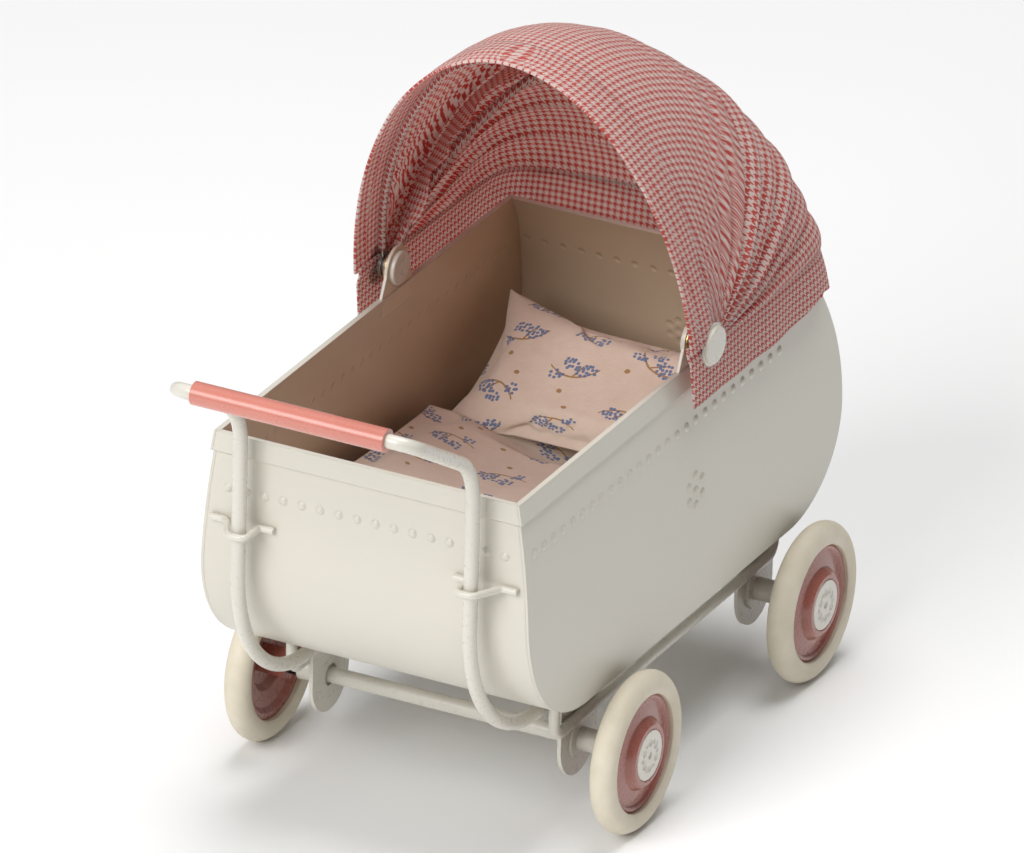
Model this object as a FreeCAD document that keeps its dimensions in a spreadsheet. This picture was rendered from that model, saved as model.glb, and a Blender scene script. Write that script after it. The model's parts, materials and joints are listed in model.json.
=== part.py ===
import FreeCAD, Part
import math
import os
import Sketcher
from FreeCAD import Placement, Rotation, Vector

# Doll pram of pressed sheet metal and bent wire, in millimetres.
# +X is the right-hand side of the person who pushes, +Y is forward, from the
# handle to the hood, and +Z is up. The origin lies on the ground, under the
# middle of the overall length and width.

doc = FreeCAD.newDocument("doll_pram")

# ---------------------------------------------------------------- sizes

SIZES = [
    # wheels and axles
    ("wheel_radius", 16.0),
    ("wheel_plane_x", "=belly_half_width + 4.1"),
    ("rear_axle_y", -11.3),
    ("wheelbase", 74.0),
    ("tyre_section_radius", 2.6),
    ("tyre_seat_radius", 11.7),
    ("disc_rim_half_width", 1.1),
    ("disc_sheet", 0.8),
    ("disc_boss_radius", 6.9),
    ("disc_face_offset", 1.2),
    ("cap_radius", 5.0),
    ("cap_thickness", 0.7),
    ("cap_face_offset", 3.1),
    ("hub_across_flats", 5.6),
    ("hub_inner_offset", 4.2),
    ("shaft_radius", 1.1),
    ("shaft_collar_radius", 1.8),
    ("axle_tube_radius", 1.6),
    ("running_clearance", 0.05),
    ("press_clearance", 0.02),
    # brackets and bushings
    ("bracket_outer_x", "=belly_half_width - 8.0"),
    ("bracket_sheet", 0.8),
    ("bracket_radius", 7.4),
    ("bracket_hole_radius", 2.2),
    ("bushing_flange_radius", 4.1),
    ("bushing_flange_thickness", 0.6),
    ("bushing_radius", 2.3),
    ("bushing_end_x", "=belly_half_width - 2.5"),
    ("collar_gap", 0.1),
    # rails under the body
    ("rail_radius", 1.1),
    ("rail_height", 21.7),
    ("rail_rear_y", -24.0),
    ("rail_front_y", 67.8),
    ("rail_bend_radius", 3.0),
    # body of the pram
    ("sheet_thickness", 0.6),
    ("rim_height", 82.0),
    ("rim_half_width", 31.7),
    ("belly_half_width", "=rim_half_width + 3.2"),
    ("belly_height", 46.0),
    ("floor_height", 30.5),
    ("rear_wall_y", -48.9),
    ("rear_corner_radius", 26.0),
    ("prow_y", 81.8),
    ("prow_corner_radius", 20.0),
    ("prow_upper_radius", 48.6),
    ("rim_band_height", 4.2),
    ("rim_band_proud", 0.5),
    # pressed dots
    ("dot_radius", 0.95),
    ("dot_proud", 0.45),
    ("dot_pitch", 3.9),
    ("dot_row_height", 70.6),
    ("flower_height", 56.7),
    ("flower_side_y", 19.9),
    ("flower_radius", 3.1),
    # handle
    ("handle_wire_radius", 1.4),
    ("handle_half_width", "=rim_half_width - 7.2"),
    ("handle_bar_y", -80.3),
    ("handle_bar_height", 105.5),
    ("handle_bar_half_width", 25.4),
    ("handle_stand_off", 3.0),
    ("handle_knee_height", 89.6),
    ("handle_knee_radius", 12.0),
    ("handle_corner_radius", 4.0),
    ("handle_tail_y", -6.0),
    ("handle_low_height", 26.7),
    ("grip_radius", 2.3),
    ("grip_length", 40.4),
    ("clip_wire_radius", 0.7),
    ("clip_height", 64.2),
    ("clip_inner_x", 19.0),
    ("clip_outer_x", 32.4),
    # hood pivots
    ("pivot_y", 22.8),
    ("pivot_height", 86.4),
    ("lug_radius", 4.4),
    ("lug_base_width", 12.6),
    ("pin_radius", 1.0),
    ("rivet_head_radius", 3.45),
    ("rivet_head_thickness", 0.9),
    ("brass_washer_radius", 4.15),
    ("brass_washer_thickness", 0.3),
    ("layer_gap", 0.05),
    ("bow_eye_thickness", 0.8),
    ("bow_eye_radius", 2.4),
    ("bow_wire_radius", 0.6),
    ("bow_spacing", 1.27),
    ("outer_washer_radius", 4.3),
    ("outer_washer_thickness", 0.35),
    ("button_radius", 3.75),
    ("button_thickness", 0.9),
    # hood
    ("front_bow_angle", -14.0),
    ("front_bow_length", 57.3),
    ("middle_bow_angle", 40.0),
    ("middle_bow_length", 49.6),
    ("fabric_thickness", 0.5),
    ("fabric_half_width", "=rim_half_width + 3.9"),
    ("hood_front_angle", -18.3),
    ("hood_rear_angle", 100.0),
    ("hood_band_angle", -9.0),
    ("hood_crown_radius", 51.6),
    ("hood_crown_growth", 0.00182),
    ("hood_crown_angle", 50.0),
    ("hood_hem_front_y", 17.0),
    ("hood_hem_rear_y", 69.0),
    ("hood_hem_height", 73.3),
    ("hood_panel_gap_angle", 0.4),
    # bedding
    ("bedding_clearance", 0.3),
    ("duvet_height", 49.0),
    ("duvet_low_height", 43.4),
    ("duvet_edge_height", 57.0),
    ("duvet_half_width", "=rim_half_width - 1.1"),
    ("duvet_front_y", 66.0),
    ("pillow_half_width", "=rim_half_width - 2.2"),
    ("pillow_length", 35.5),
    ("pillow_thickness", 10.0),
    ("pillow_bottom_y", 35.8),
    ("pillow_bottom_height", 46.9),
    ("pillow_tilt", 26.2),
]

sheet = doc.addObject("Spreadsheet::Sheet", "Sizes")
for row, (alias, value) in enumerate(SIZES, start=1):
    sheet.set("A%d" % row, alias)
    sheet.setAlias("B%d" % row, alias)
for row, (alias, value) in enumerate(SIZES, start=1):
    sheet.set("B%d" % row, str(value))
doc.recompute()


def size(alias):
    return float(getattr(sheet, alias))


pieces = []


def keep(obj, label):
    obj.Label = label
    pieces.append(obj)
    return obj


def bind(obj, **expressions):
    for prop, text in expressions.items():
        obj.setExpression(prop.replace("__", "."), text)
    return obj


def feature(label, shape):
    obj = doc.addObject("Part::Feature", label)
    obj.Shape = shape
    obj.Placement = Placement()
    return keep(obj, label)


# ---------------------------------------------------------------- turned parts along X

def rod_x(name, radius, start, length, y="0", z="0"):
    """Cylinder along +X from start, bound to the sheet."""
    rod = doc.addObject("Part::Cylinder", name)
    rod.Placement = Placement(Vector(0, 0, 0), Rotation(Vector(0, 1, 0), 90))
    bind(rod, Radius=radius, Height=length)
    bind(rod, Placement__Base__x=start, Placement__Base__y=y, Placement__Base__z=z)
    return rod


def boolean(kind, label, base, tool):
    cut = doc.addObject(kind, label)
    cut.Base = base
    cut.Tool = tool
    return cut


def tube_x(label, outer, inner, start, length, y="0", z="0"):
    """Tube along +X: an outer rod with a through bore."""
    solid = rod_x(label + "_solid", outer, start, length, y, z)
    bore = rod_x(label + "_bore", inner, "(%s) - 1" % start, "(%s) + 2" % length, y, z)
    return keep(boolean("Part::Cut", label, solid, bore), label)


REAR_Y = "Sizes.rear_axle_y"
FRONT_Y = "Sizes.rear_axle_y + Sizes.wheelbase"
AXLES = [("rear", REAR_Y), ("front", FRONT_Y)]
AXLE_Z = "Sizes.wheel_radius"
SIDES = [("left", -1), ("right", 1)]


# ---------------------------------------------------------------- swept wire

def unit(v):
    u = Vector(v)
    u.normalize()
    return u


def rounded_path(points, radii):
    """Polyline with a tangent arc of the given radius at each inner corner."""
    edges = []
    start = points[0]
    for before, corner, after, radius in zip(points, points[1:], points[2:], radii):
        back = unit(before - corner)
        ahead = unit(after - corner)
        half = back.getAngle(ahead) / 2
        reach = radius / math.tan(half)
        first = corner + back * reach
        last = corner + ahead * reach
        middle = corner + unit(back + ahead) * (radius / math.sin(half) - radius)
        if (first - start).Length > 1e-6:
            edges.append(Part.LineSegment(start, first).toShape())
        edges.append(Part.Arc(first, middle, last).toShape())
        start = last
    edges.append(Part.LineSegment(start, points[-1]).toShape())
    return Part.Wire(edges)


def swept_wire(path, radius):
    """Round wire of constant section along a path."""
    first = path.Edges[0]
    begin = first.valueAt(first.FirstParameter)
    along = first.tangentAt(first.FirstParameter)
    section = Part.Wire(Part.makeCircle(radius, begin, along))
    return path.makePipeShell([section], True, False)


# ---------------------------------------------------------------- body outline

T = size("sheet_thickness")
FLOOR_Z = size("floor_height")
RIM_Z = size("rim_height")
REAR_WALL = size("rear_wall_y")
REAR_R = size("rear_corner_radius")
PROW_R = size("prow_corner_radius")
UPPER_R = size("prow_upper_radius")
PROW_Y = size("prow_y")
PROW_Z = FLOOR_Z + PROW_R
BODY_SPAN = 2 * size("belly_half_width") + 20


def outline_face(inset, top):
    """Side view of the body, drawn in from its outer skin and closed at a height."""
    rear_y = REAR_WALL + inset
    rear_r = REAR_R - inset
    prow_r = PROW_R - inset
    upper_r = UPPER_R - inset
    rear_mid = Vector(0, REAR_WALL + REAR_R, FLOOR_Z + REAR_R)
    prow_mid = Vector(0, PROW_Y - PROW_R, PROW_Z)
    upper_mid = Vector(0, PROW_Y - UPPER_R, PROW_Z)
    rise = top - PROW_Z
    top_y = upper_mid.y + math.sqrt(upper_r ** 2 - rise ** 2)
    corner = math.sqrt(0.5)
    lean = math.asin(rise / upper_r) / 2
    wall_foot = Vector(0, rear_y, rear_mid.z)
    floor_rear = Vector(0, rear_mid.y, rear_mid.z - rear_r)
    floor_front = Vector(0, prow_mid.y, prow_mid.z - prow_r)
    nose = Vector(0, prow_mid.y + prow_r, prow_mid.z)
    rear_rim = Vector(0, rear_y, top)
    front_rim = Vector(0, top_y, top)
    rear_bulge = rear_mid + Vector(0, -corner, -corner) * rear_r
    prow_bulge = prow_mid + Vector(0, corner, -corner) * prow_r
    upper_bulge = upper_mid + Vector(0, math.cos(lean), math.sin(lean)) * upper_r
    edges = [
        Part.LineSegment(rear_rim, wall_foot).toShape(),
        Part.Arc(wall_foot, rear_bulge, floor_rear).toShape(),
        Part.LineSegment(floor_rear, floor_front).toShape(),
        Part.Arc(floor_front, prow_bulge, nose).toShape(),
        Part.Arc(nose, upper_bulge, front_rim).toShape(),
        Part.LineSegment(front_rim, rear_rim).toShape(),
    ]
    return Part.Face(Part.Wire(edges))


def half_width_at(z, inset=0.0):
    """Outer half width of the bellied side panels at a height."""
    sag = size("belly_half_width") - size("rim_half_width")
    reach = size("rim_height") - size("belly_height")
    radius = (reach ** 2 + sag ** 2) / (2 * sag)
    centre = size("belly_half_width") - radius
    return centre + math.sqrt((radius - inset) ** 2 - (z - size("belly_height")) ** 2)


def section_prism(inset, low, top):
    """Everything between the two bellied side skins, as one long prism."""
    middle = (low + top) / 2
    right = [Vector(half_width_at(z, inset), -120, z) for z in (low, middle, top)]
    left = [Vector(-p.x, p.y, p.z) for p in right]
    edges = [
        Part.Arc(*right).toShape(),
        Part.LineSegment(right[2], left[2]).toShape(),
        Part.Arc(*reversed(left)).toShape(),
        Part.LineSegment(left[0], right[0]).toShape(),
    ]
    return Part.Face(Part.Wire(edges)).extrude(Vector(0, 240, 0))


def outline_prism(inset, top):
    face = outline_face(inset, top)
    face.translate(Vector(-BODY_SPAN / 2, 0, 0))
    return face.extrude(Vector(BODY_SPAN, 0, 0))


def body_block(inset, side_inset, top):
    """Solid block in the shape of the body, drawn in by an inset."""
    low = size("floor_height") - 1
    return outline_prism(inset, top).common(section_prism(side_inset, low, top))


envelope = doc.addObject("Part::Feature", "body_envelope")
envelope.Shape = body_block(0, 0, size("rim_height"))

# ---------------------------------------------------------------- pressed dots


def dome(centre, outward):
    """Shallow spherical dot that stands proud of a wall."""
    radius = size("dot_radius")
    proud = size("dot_proud")
    root = 0.3
    ball = (radius ** 2 + proud ** 2) / (2 * proud)
    low = math.degrees(math.asin((ball - proud - root) / ball))
    cap = Part.makeSphere(ball, Vector(0, 0, 0), Vector(0, 0, 1), low, 90, 360)
    cap.rotate(Vector(0, 0, 0), Vector(0, 0, 1), 50)
    cap.translate(Vector(0, 0, proud - ball))
    cap.Placement = Placement(centre, Rotation(Vector(0, 0, 1), outward)) * cap.Placement
    return cap


def flower_spots():
    """Centre dot and six petals, as offsets in the plane of the wall."""
    petal = size("flower_radius")
    spots = [(0.0, 0.0)]
    for k in range(6):
        angle = math.radians(90 + 60 * k)
        spots.append((petal * math.cos(angle), petal * math.sin(angle)))
    return spots


def centred_row(half_span, pitch):
    count = int(2 * half_span / pitch) + 1
    return [pitch * (k - (count - 1) / 2) for k in range(count)]


def rear_dots():
    z = size("dot_row_height")
    out = Vector(0, -1, 0)
    half = half_width_at(z) - 3.5
    return [dome(Vector(x, size("rear_wall_y"), z), out) for x in centred_row(half, size("dot_pitch"))]


def prow_dots():
    """Dots of the front wall, on the upper arc of the prow."""
    middle = Vector(0, PROW_Y - UPPER_R, PROW_Z)
    half = half_width_at(size("dot_row_height")) - 3.5
    spots = [(x, size("dot_row_height")) for x in centred_row(half, size("dot_pitch"))]
    spots += [(x, size("flower_height") + z) for x, z in flower_spots()]
    found = []
    for x, z in spots:
        run = math.sqrt(UPPER_R ** 2 - (z - middle.z) ** 2)
        point = Vector(x, middle.y + run, z)
        found.append(dome(point, Vector(0, run, z - middle.z)))
    return found


def side_dots():
    """Dot row and flower on the right-hand side panel."""
    z_row = size("dot_row_height")
    pitch = size("dot_pitch")
    first = size("rear_wall_y") + 4.0
    last = size("prow_y") - 22.0
    count = int((last - first) / pitch) + 1
    spots = [(first + pitch * k, z_row) for k in range(count)]
    spots += [(size("flower_side_y") + y, size("flower_height") + z) for y, z in flower_spots()]
    found = []
    for y, z in spots:
        slope = half_width_at(z - 0.5) - half_width_at(z + 0.5)
        point = Vector(half_width_at(z), y, z)
        found.append(dome(point, Vector(1, 0, slope)))
    return found


# ---------------------------------------------------------------- body panels

between_sides = section_prism(T, FLOOR_Z - 1, RIM_Z + 1)
BAND = size("rim_band_height")
PROUD = size("rim_band_proud")


def rim_slab(height, bottom):
    slab = Part.makeBox(200, 300, height, Vector(-100, -150, bottom))
    return slab


wrap = outline_prism(0, RIM_Z).cut(outline_prism(T, RIM_Z + 4)).common(between_sides)
band_prism = outline_prism(-PROUD, RIM_Z).cut(outline_prism(0, RIM_Z + 4))
wrap_band = band_prism.common(section_prism(0, FLOOR_Z - 1, RIM_Z + 1))
wrap_band = wrap_band.common(rim_slab(BAND, RIM_Z - BAND))
wrap = wrap.fuse(wrap_band).fuse(rear_dots() + prow_dots())
feature("tub_wrap", wrap.removeSplitter())

skins = section_prism(0, FLOOR_Z - 1, RIM_Z).cut(section_prism(T, FLOOR_Z - 2, RIM_Z + 1))
skins = skins.common(outline_prism(0, RIM_Z))
side_band = section_prism(-PROUD, FLOOR_Z - 1, RIM_Z).cut(section_prism(0, FLOOR_Z - 2, RIM_Z + 1))
side_band = side_band.common(outline_prism(-PROUD, RIM_Z)).common(rim_slab(BAND, RIM_Z - BAND))
PIVOT = Vector(0, size("pivot_y"), size("pivot_height"))
LUG_X = size("rim_half_width") + PROUD / 2


def lug():
    """Rounded ear that rises from the rim and carries the hood pivot."""
    inner = LUG_X - T
    radius = size("lug_radius")
    half = size("lug_base_width") / 2
    waist = radius * 0.98
    corners = [
        Vector(0, PIVOT.y - half, RIM_Z - BAND),
        Vector(0, PIVOT.y + half, RIM_Z - BAND),
        Vector(0, PIVOT.y + half, RIM_Z),
        Vector(0, PIVOT.y + waist, PIVOT.z),
        Vector(0, PIVOT.y - waist, PIVOT.z),
        Vector(0, PIVOT.y - half, RIM_Z),
    ]
    plate = Part.Face(Part.makePolygon(corners + corners[:1])).extrude(Vector(T, 0, 0))
    plate = plate.fuse(Part.makeCylinder(radius, T, PIVOT, Vector(1, 0, 0)))
    bore = size("pin_radius") + size("running_clearance")
    plate = plate.cut(Part.makeCylinder(bore, 3 * T, PIVOT - Vector(T, 0, 0), Vector(1, 0, 0)))
    plate.translate(Vector(inner, 0, 0))
    return plate


half_space = Part.makeBox(100, 300, 200, Vector(0, -150, 0))
right_panel = skins.common(half_space).fuse([side_band.common(half_space), lug()]).removeSplitter()
for dot in side_dots():
    right_panel = right_panel.fuse(dot)


def put_side(shape, side):
    """The shape as drawn on the right, or its mirror image on the left."""
    return shape if side > 0 else shape.mirror(Vector(0, 0, 0), Vector(1, 0, 0))


for side_name, side in SIDES:
    feature("side_panel_" + side_name, put_side(right_panel, side))

# ---------------------------------------------------------------- push handle

HX = size("handle_half_width")
HR = size("handle_wire_radius")
LEG_Y = REAR_WALL - size("handle_stand_off") - HR
LEG_ARC = REAR_R + (REAR_WALL - LEG_Y) - 1.4


def handle_side(side):
    """Corners of one handle leg, from its tail under the floor up to the bar."""
    x = side * HX
    return [
        Vector(x, size("handle_tail_y"), FLOOR_Z - HR),
        Vector(x, REAR_WALL + REAR_R + 4, size("handle_low_height")),
        Vector(x, LEG_Y, size("handle_low_height")),
        Vector(x, LEG_Y, size("handle_knee_height")),
        Vector(side * size("handle_bar_half_width"), size("handle_bar_y"), size("handle_bar_height")),
    ]


leg_radii = [8.0, LEG_ARC, size("handle_knee_radius"), size("handle_corner_radius")]
corners = handle_side(1) + list(reversed(handle_side(-1)))
handle_path = rounded_path(corners, leg_radii + list(reversed(leg_radii)))
feature("handle_bar", swept_wire(handle_path, HR))

tube_x("handle_grip", "Sizes.grip_radius", "Sizes.handle_wire_radius + Sizes.running_clearance",
       "-Sizes.grip_length / 2", "Sizes.grip_length",
       "Sizes.handle_bar_y", "Sizes.handle_bar_height")

CR = size("clip_wire_radius")
for side_name, side in SIDES:
    z = size("clip_height")
    wall_y = REAR_WALL - CR
    over_y = LEG_Y - HR - CR
    near = HX - HR - CR - 0.2
    far = HX + HR
    clip_points = [
        Vector(side * size("clip_inner_x"), wall_y, z),
        Vector(side * near, wall_y, z),
        Vector(side * near, over_y, z),
        Vector(side * far, over_y, z),
        Vector(side * (far + 3.2), wall_y, z),
        Vector(side * size("clip_outer_x"), wall_y, z),
    ]
    clip_path = rounded_path(clip_points, [0.9, 1.2, 1.4, 1.4])
    feature("handle_clip_" + side_name, swept_wire(clip_path, CR))

# ---------------------------------------------------------------- chassis rails

RR = size("rail_radius")
RAIL_X = size("bracket_outer_x") + RR
for side_name, side in SIDES:
    x = side * RAIL_X
    bend = size("rail_bend_radius")
    rail_points = [
        Vector(x, size("rail_rear_y"), FLOOR_Z + 4),
        Vector(x, size("rail_rear_y"), size("rail_height")),
        Vector(x, size("rail_front_y"), size("rail_height")),
        Vector(x, size("rail_front_y"), FLOOR_Z + 6),
    ]
    rail = swept_wire(rounded_path(rail_points, [bend, bend]), RR)
    feature("chassis_rail_" + side_name, rail.cut(envelope.Shape))

# ---------------------------------------------------------------- axle brackets


def bracket(label, axle_y, side):
    """Tongue-shaped plate that hangs from the floor, with the axle hole."""
    body = doc.addObject("PartDesign::Body", label + "_plate")
    planes = [f for f in body.Origin.OriginFeatures if f.Role == "YZ_Plane"]
    sketch = body.newObject("Sketcher::SketchObject", label + "_outline")
    sketch.AttachmentSupport = [(planes[0], "")]
    sketch.MapMode = "FlatFace"
    r = size("bracket_radius")
    top = size("prow_corner_radius")
    sketch.addGeometry(Part.ArcOfCircle(Part.Circle(Vector(0, 0, 0), Vector(0, 0, 1), r), math.pi, 2 * math.pi))
    sketch.addGeometry(Part.LineSegment(Vector(r, 0, 0), Vector(r, top, 0)))
    sketch.addGeometry(Part.LineSegment(Vector(r, top, 0), Vector(-r, top, 0)))
    sketch.addGeometry(Part.LineSegment(Vector(-r, top, 0), Vector(-r, 0, 0)))
    sketch.addGeometry(Part.Circle(Vector(0, 0, 0), Vector(0, 0, 1), size("bracket_hole_radius")))
    constraint = Sketcher.Constraint
    sketch.addConstraint(constraint("Coincident", 0, 3, -1, 1))
    sketch.addConstraint(constraint("Coincident", 0, 2, 1, 1))
    sketch.addConstraint(constraint("Coincident", 1, 2, 2, 1))
    sketch.addConstraint(constraint("Coincident", 2, 2, 3, 1))
    sketch.addConstraint(constraint("Coincident", 3, 2, 0, 1))
    sketch.addConstraint(constraint("Vertical", 1))
    sketch.addConstraint(constraint("Vertical", 3))
    sketch.addConstraint(constraint("Horizontal", 2))
    sketch.addConstraint(constraint("PointOnObject", 0, 2, -1))
    sketch.addConstraint(constraint("Coincident", 4, 3, -1, 1))
    radius_rule = sketch.addConstraint(constraint("Radius", 0, r))
    height_rule = sketch.addConstraint(constraint("Distance", 1, top))
    hole_rule = sketch.addConstraint(constraint("Radius", 4, size("bracket_hole_radius")))
    sketch.setExpression("Constraints[%d]" % radius_rule, "Sizes.bracket_radius")
    sketch.setExpression("Constraints[%d]" % height_rule, "Sizes.prow_corner_radius")
    sketch.setExpression("Constraints[%d]" % hole_rule, "Sizes.bracket_hole_radius")
    pad = body.newObject("PartDesign::Pad", label + "_pad")
    pad.Profile = sketch
    bind(pad, Length="Sizes.bracket_sheet")
    body.Tip = pad
    start = "Sizes.bracket_outer_x - Sizes.bracket_sheet" if side > 0 else "-Sizes.bracket_outer_x"
    bind(body, Placement__Base__x=start, Placement__Base__y=axle_y, Placement__Base__z=AXLE_Z)
    return keep(boolean("Part::Cut", label, body, envelope), label)


for axle_name, axle_y in AXLES:
    for side_name, side in SIDES:
        bracket("axle_bracket_%s_%s" % (axle_name, side_name), axle_y, side)

# ---------------------------------------------------------------- axles and bushings

for axle_name, axle_y in AXLES:
    tube_x("axle_tube_" + axle_name, "Sizes.axle_tube_radius",
           "Sizes.shaft_radius + Sizes.running_clearance",
           "-Sizes.bushing_end_x", "2 * Sizes.bushing_end_x", axle_y, AXLE_Z)
    for side_name, side in SIDES:
        label = "axle_bushing_%s_%s" % (axle_name, side_name)
        span = "(Sizes.bushing_end_x - Sizes.bracket_outer_x)"
        start = "Sizes.bracket_outer_x" if side > 0 else "-Sizes.bushing_end_x"
        flange = "Sizes.bracket_outer_x"
        if side < 0:
            flange = "-Sizes.bracket_outer_x - Sizes.bushing_flange_thickness"
        barrel = rod_x(label + "_barrel", "Sizes.bushing_radius", start, span, axle_y, AXLE_Z)
        plate = rod_x(label + "_flange", "Sizes.bushing_flange_radius", flange,
                      "Sizes.bushing_flange_thickness", axle_y, AXLE_Z)
        solid = boolean("Part::Fuse", label + "_solid", barrel, plate)
        bore = rod_x(label + "_bore", "Sizes.axle_tube_radius + Sizes.press_clearance",
                     start + " - 1", span + " + 2", axle_y, AXLE_Z)
        keep(boolean("Part::Cut", label, solid, bore), label)
    label = "axle_shaft_" + axle_name
    reach = "(Sizes.wheel_plane_x + Sizes.cap_face_offset - Sizes.cap_thickness)"
    core = rod_x(label + "_core", "Sizes.shaft_radius", "-" + reach, "2 * " + reach, axle_y, AXLE_Z)
    gap_x = "Sizes.bushing_end_x + Sizes.collar_gap"
    run = "(Sizes.wheel_plane_x - Sizes.hub_inner_offset - %s)" % gap_x.replace(" + ", " - ")
    collars = []
    for side_name, side in SIDES:
        start = gap_x if side > 0 else "Sizes.hub_inner_offset - Sizes.wheel_plane_x"
        collars.append(rod_x("%s_collar_%s" % (label, side_name), "Sizes.shaft_collar_radius",
                             start, run, axle_y, AXLE_Z))
    shaft = doc.addObject("Part::MultiFuse", label)
    shaft.Shapes = [core] + collars
    keep(shaft, label)

# ---------------------------------------------------------------- wheels


def disc_section():
    """Half section of the pressed wheel disc: radius against offset from the wheel plane."""
    seat = size("tyre_seat_radius")
    rim = size("disc_rim_half_width")
    gauge = size("disc_sheet")
    face = size("disc_face_offset")
    boss = size("disc_boss_radius")
    cap = size("cap_radius") + size("press_clearance")
    crown = size("cap_face_offset")
    floor = crown - size("cap_thickness")
    bore = size("shaft_radius") + size("press_clearance")
    outer = [
        (seat, -rim), (seat, rim), (seat - 0.5, rim + 0.35), (seat - 1.0, rim + 0.1),
        (seat - 1.4, face - gauge * 0.5), (boss + 1.6, face), (boss + 0.4, face + 0.25),
        (boss - 0.4, crown - 0.5), (boss - 0.9, crown - 0.1), (cap + 0.25, crown - 0.1),
        (cap, crown - 0.3), (cap, floor), (bore, floor),
    ]
    inner = [
        (bore, floor - gauge), (boss - 1.6, floor - gauge), (boss - 0.5, face - gauge),
        (seat - 2.2, face - 1.6 * gauge), (seat - 1.2, -rim),
    ]
    return outer + inner


def wheel_disc(label, side, axle_y):
    """Pressed disc as a PartDesign revolution about the axle."""
    body = doc.addObject("PartDesign::Body", label)
    planes = [f for f in body.Origin.OriginFeatures if f.Role == "XY_Plane"]
    axes = [f for f in body.Origin.OriginFeatures if f.Role == "X_Axis"]
    sketch = body.newObject("Sketcher::SketchObject", label + "_section")
    sketch.AttachmentSupport = [(planes[0], "")]
    sketch.MapMode = "FlatFace"
    points = [Vector(side * offset, radius, 0) for radius, offset in disc_section()]
    for begin, end in zip(points, points[1:] + points[:1]):
        sketch.addGeometry(Part.LineSegment(begin, end))
    last = len(points) - 1
    for k in range(len(points)):
        follower = 0 if k == last else k + 1
        sketch.addConstraint(Sketcher.Constraint("Coincident", k, 2, follower, 1))
    turn = body.newObject("PartDesign::Revolution", label + "_turn")
    turn.Profile = sketch
    turn.ReferenceAxis = (axes[0], [""])
    turn.Angle = 360
    body.Tip = turn
    place = "Sizes.wheel_plane_x" if side > 0 else "-Sizes.wheel_plane_x"
    bind(body, Placement__Base__x=place, Placement__Base__y=axle_y, Placement__Base__z=AXLE_Z)
    return keep(body, label)


def tyre(label, side, axle_y):
    """Round-section tyre with a flat seat bored to the disc."""
    ring = doc.addObject("Part::Torus", label + "_ring")
    ring.Placement = Placement(Vector(0, 0, 0), Rotation(Vector(0, 1, 0), 90))
    place = "Sizes.wheel_plane_x" if side > 0 else "-Sizes.wheel_plane_x"
    bind(ring, Radius1="Sizes.wheel_radius - Sizes.tyre_section_radius",
         Radius2="Sizes.tyre_section_radius")
    bind(ring, Placement__Base__x=place, Placement__Base__y=axle_y, Placement__Base__z=AXLE_Z)
    seat = rod_x(label + "_seat", "Sizes.tyre_seat_radius + Sizes.press_clearance",
                 place + " - Sizes.tyre_section_radius - 1",
                 "2 * Sizes.tyre_section_radius + 2", axle_y, AXLE_Z)
    return keep(boolean("Part::Cut", label, ring, seat), label)


def hub_cap(label, side, axle_y):
    """Domed cap with seven shallow dimples, pressed into the boss."""
    radius = size("cap_radius")
    thick = size("cap_thickness")
    face = size("cap_face_offset")
    disc = Part.makeCylinder(radius, thick, Vector(face - thick, 0, 0), Vector(1, 0, 0))
    disc = disc.makeFillet(0.25, [disc.Edges[0]])
    dimples = []
    for k in range(7):
        reach = 0.0 if k == 6 else radius * 0.58
        angle = math.radians(60 * k)
        spot = Vector(face + 0.7, reach * math.cos(angle), reach * math.sin(angle))
        dimples.append(Part.makeSphere(0.95, spot))
    disc = disc.cut(dimples)
    if side < 0:
        disc = disc.mirror(Vector(0, 0, 0), Vector(1, 0, 0))
    cap = doc.addObject("Part::Feature", label)
    cap.Shape = disc
    place = "Sizes.wheel_plane_x" if side > 0 else "-Sizes.wheel_plane_x"
    bind(cap, Placement__Base__x=place, Placement__Base__y=axle_y, Placement__Base__z=AXLE_Z)
    return keep(cap, label)


def hub_nut(label, side, axle_y):
    """Hexagonal hub behind the disc, bored for the shaft."""
    crown = size("cap_face_offset") - size("cap_thickness") - size("disc_sheet")
    prism = doc.addObject("Part::Prism", label + "_hex")
    prism.Polygon = 6
    prism.Placement = Placement(Vector(0, 0, 0), Rotation(Vector(0, 1, 0), 90))
    length = "(Sizes.hub_inner_offset + %s)" % (
        "Sizes.cap_face_offset - Sizes.cap_thickness - Sizes.disc_sheet")
    start = "Sizes.wheel_plane_x - Sizes.hub_inner_offset"
    if side < 0:
        start = "Sizes.hub_inner_offset - Sizes.wheel_plane_x - " + length
    bind(prism, Circumradius="Sizes.hub_across_flats / sqrt(3)", Height=length)
    bind(prism, Placement__Base__x=start, Placement__Base__y=axle_y, Placement__Base__z=AXLE_Z)
    bore = rod_x(label + "_bore", "Sizes.shaft_radius + Sizes.press_clearance",
                 start + " - 1", length + " + 2", axle_y, AXLE_Z)
    return keep(boolean("Part::Cut", label, prism, bore), label)


for axle_name, axle_y in AXLES:
    for side_name, side in SIDES:
        spot = "%s_%s" % (axle_name, side_name)
        tyre("tyre_" + spot, side, axle_y)
        wheel_disc("wheel_disc_" + spot, side, axle_y)
        hub_cap("hub_cap_" + spot, side, axle_y)
        hub_nut("wheel_hub_" + spot, side, axle_y)

# ---------------------------------------------------------------- hood pivots

GAP = size("layer_gap")
BRASS_X = LUG_X + GAP
EYE = size("bow_eye_thickness")
MIDDLE_X = BRASS_X + size("brass_washer_thickness") + 3 * GAP + size("bow_wire_radius")
FRONT_X = MIDDLE_X + size("bow_spacing")
WASHER_X = size("fabric_half_width") + GAP
BUTTON_X = WASHER_X + size("outer_washer_thickness")
PIN_R = size("pin_radius")
PIN_BORE = PIN_R + size("running_clearance")


def disc_x(radius, thickness, x):
    return Part.makeCylinder(radius, thickness, Vector(x, PIVOT.y, PIVOT.z), Vector(1, 0, 0))


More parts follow.
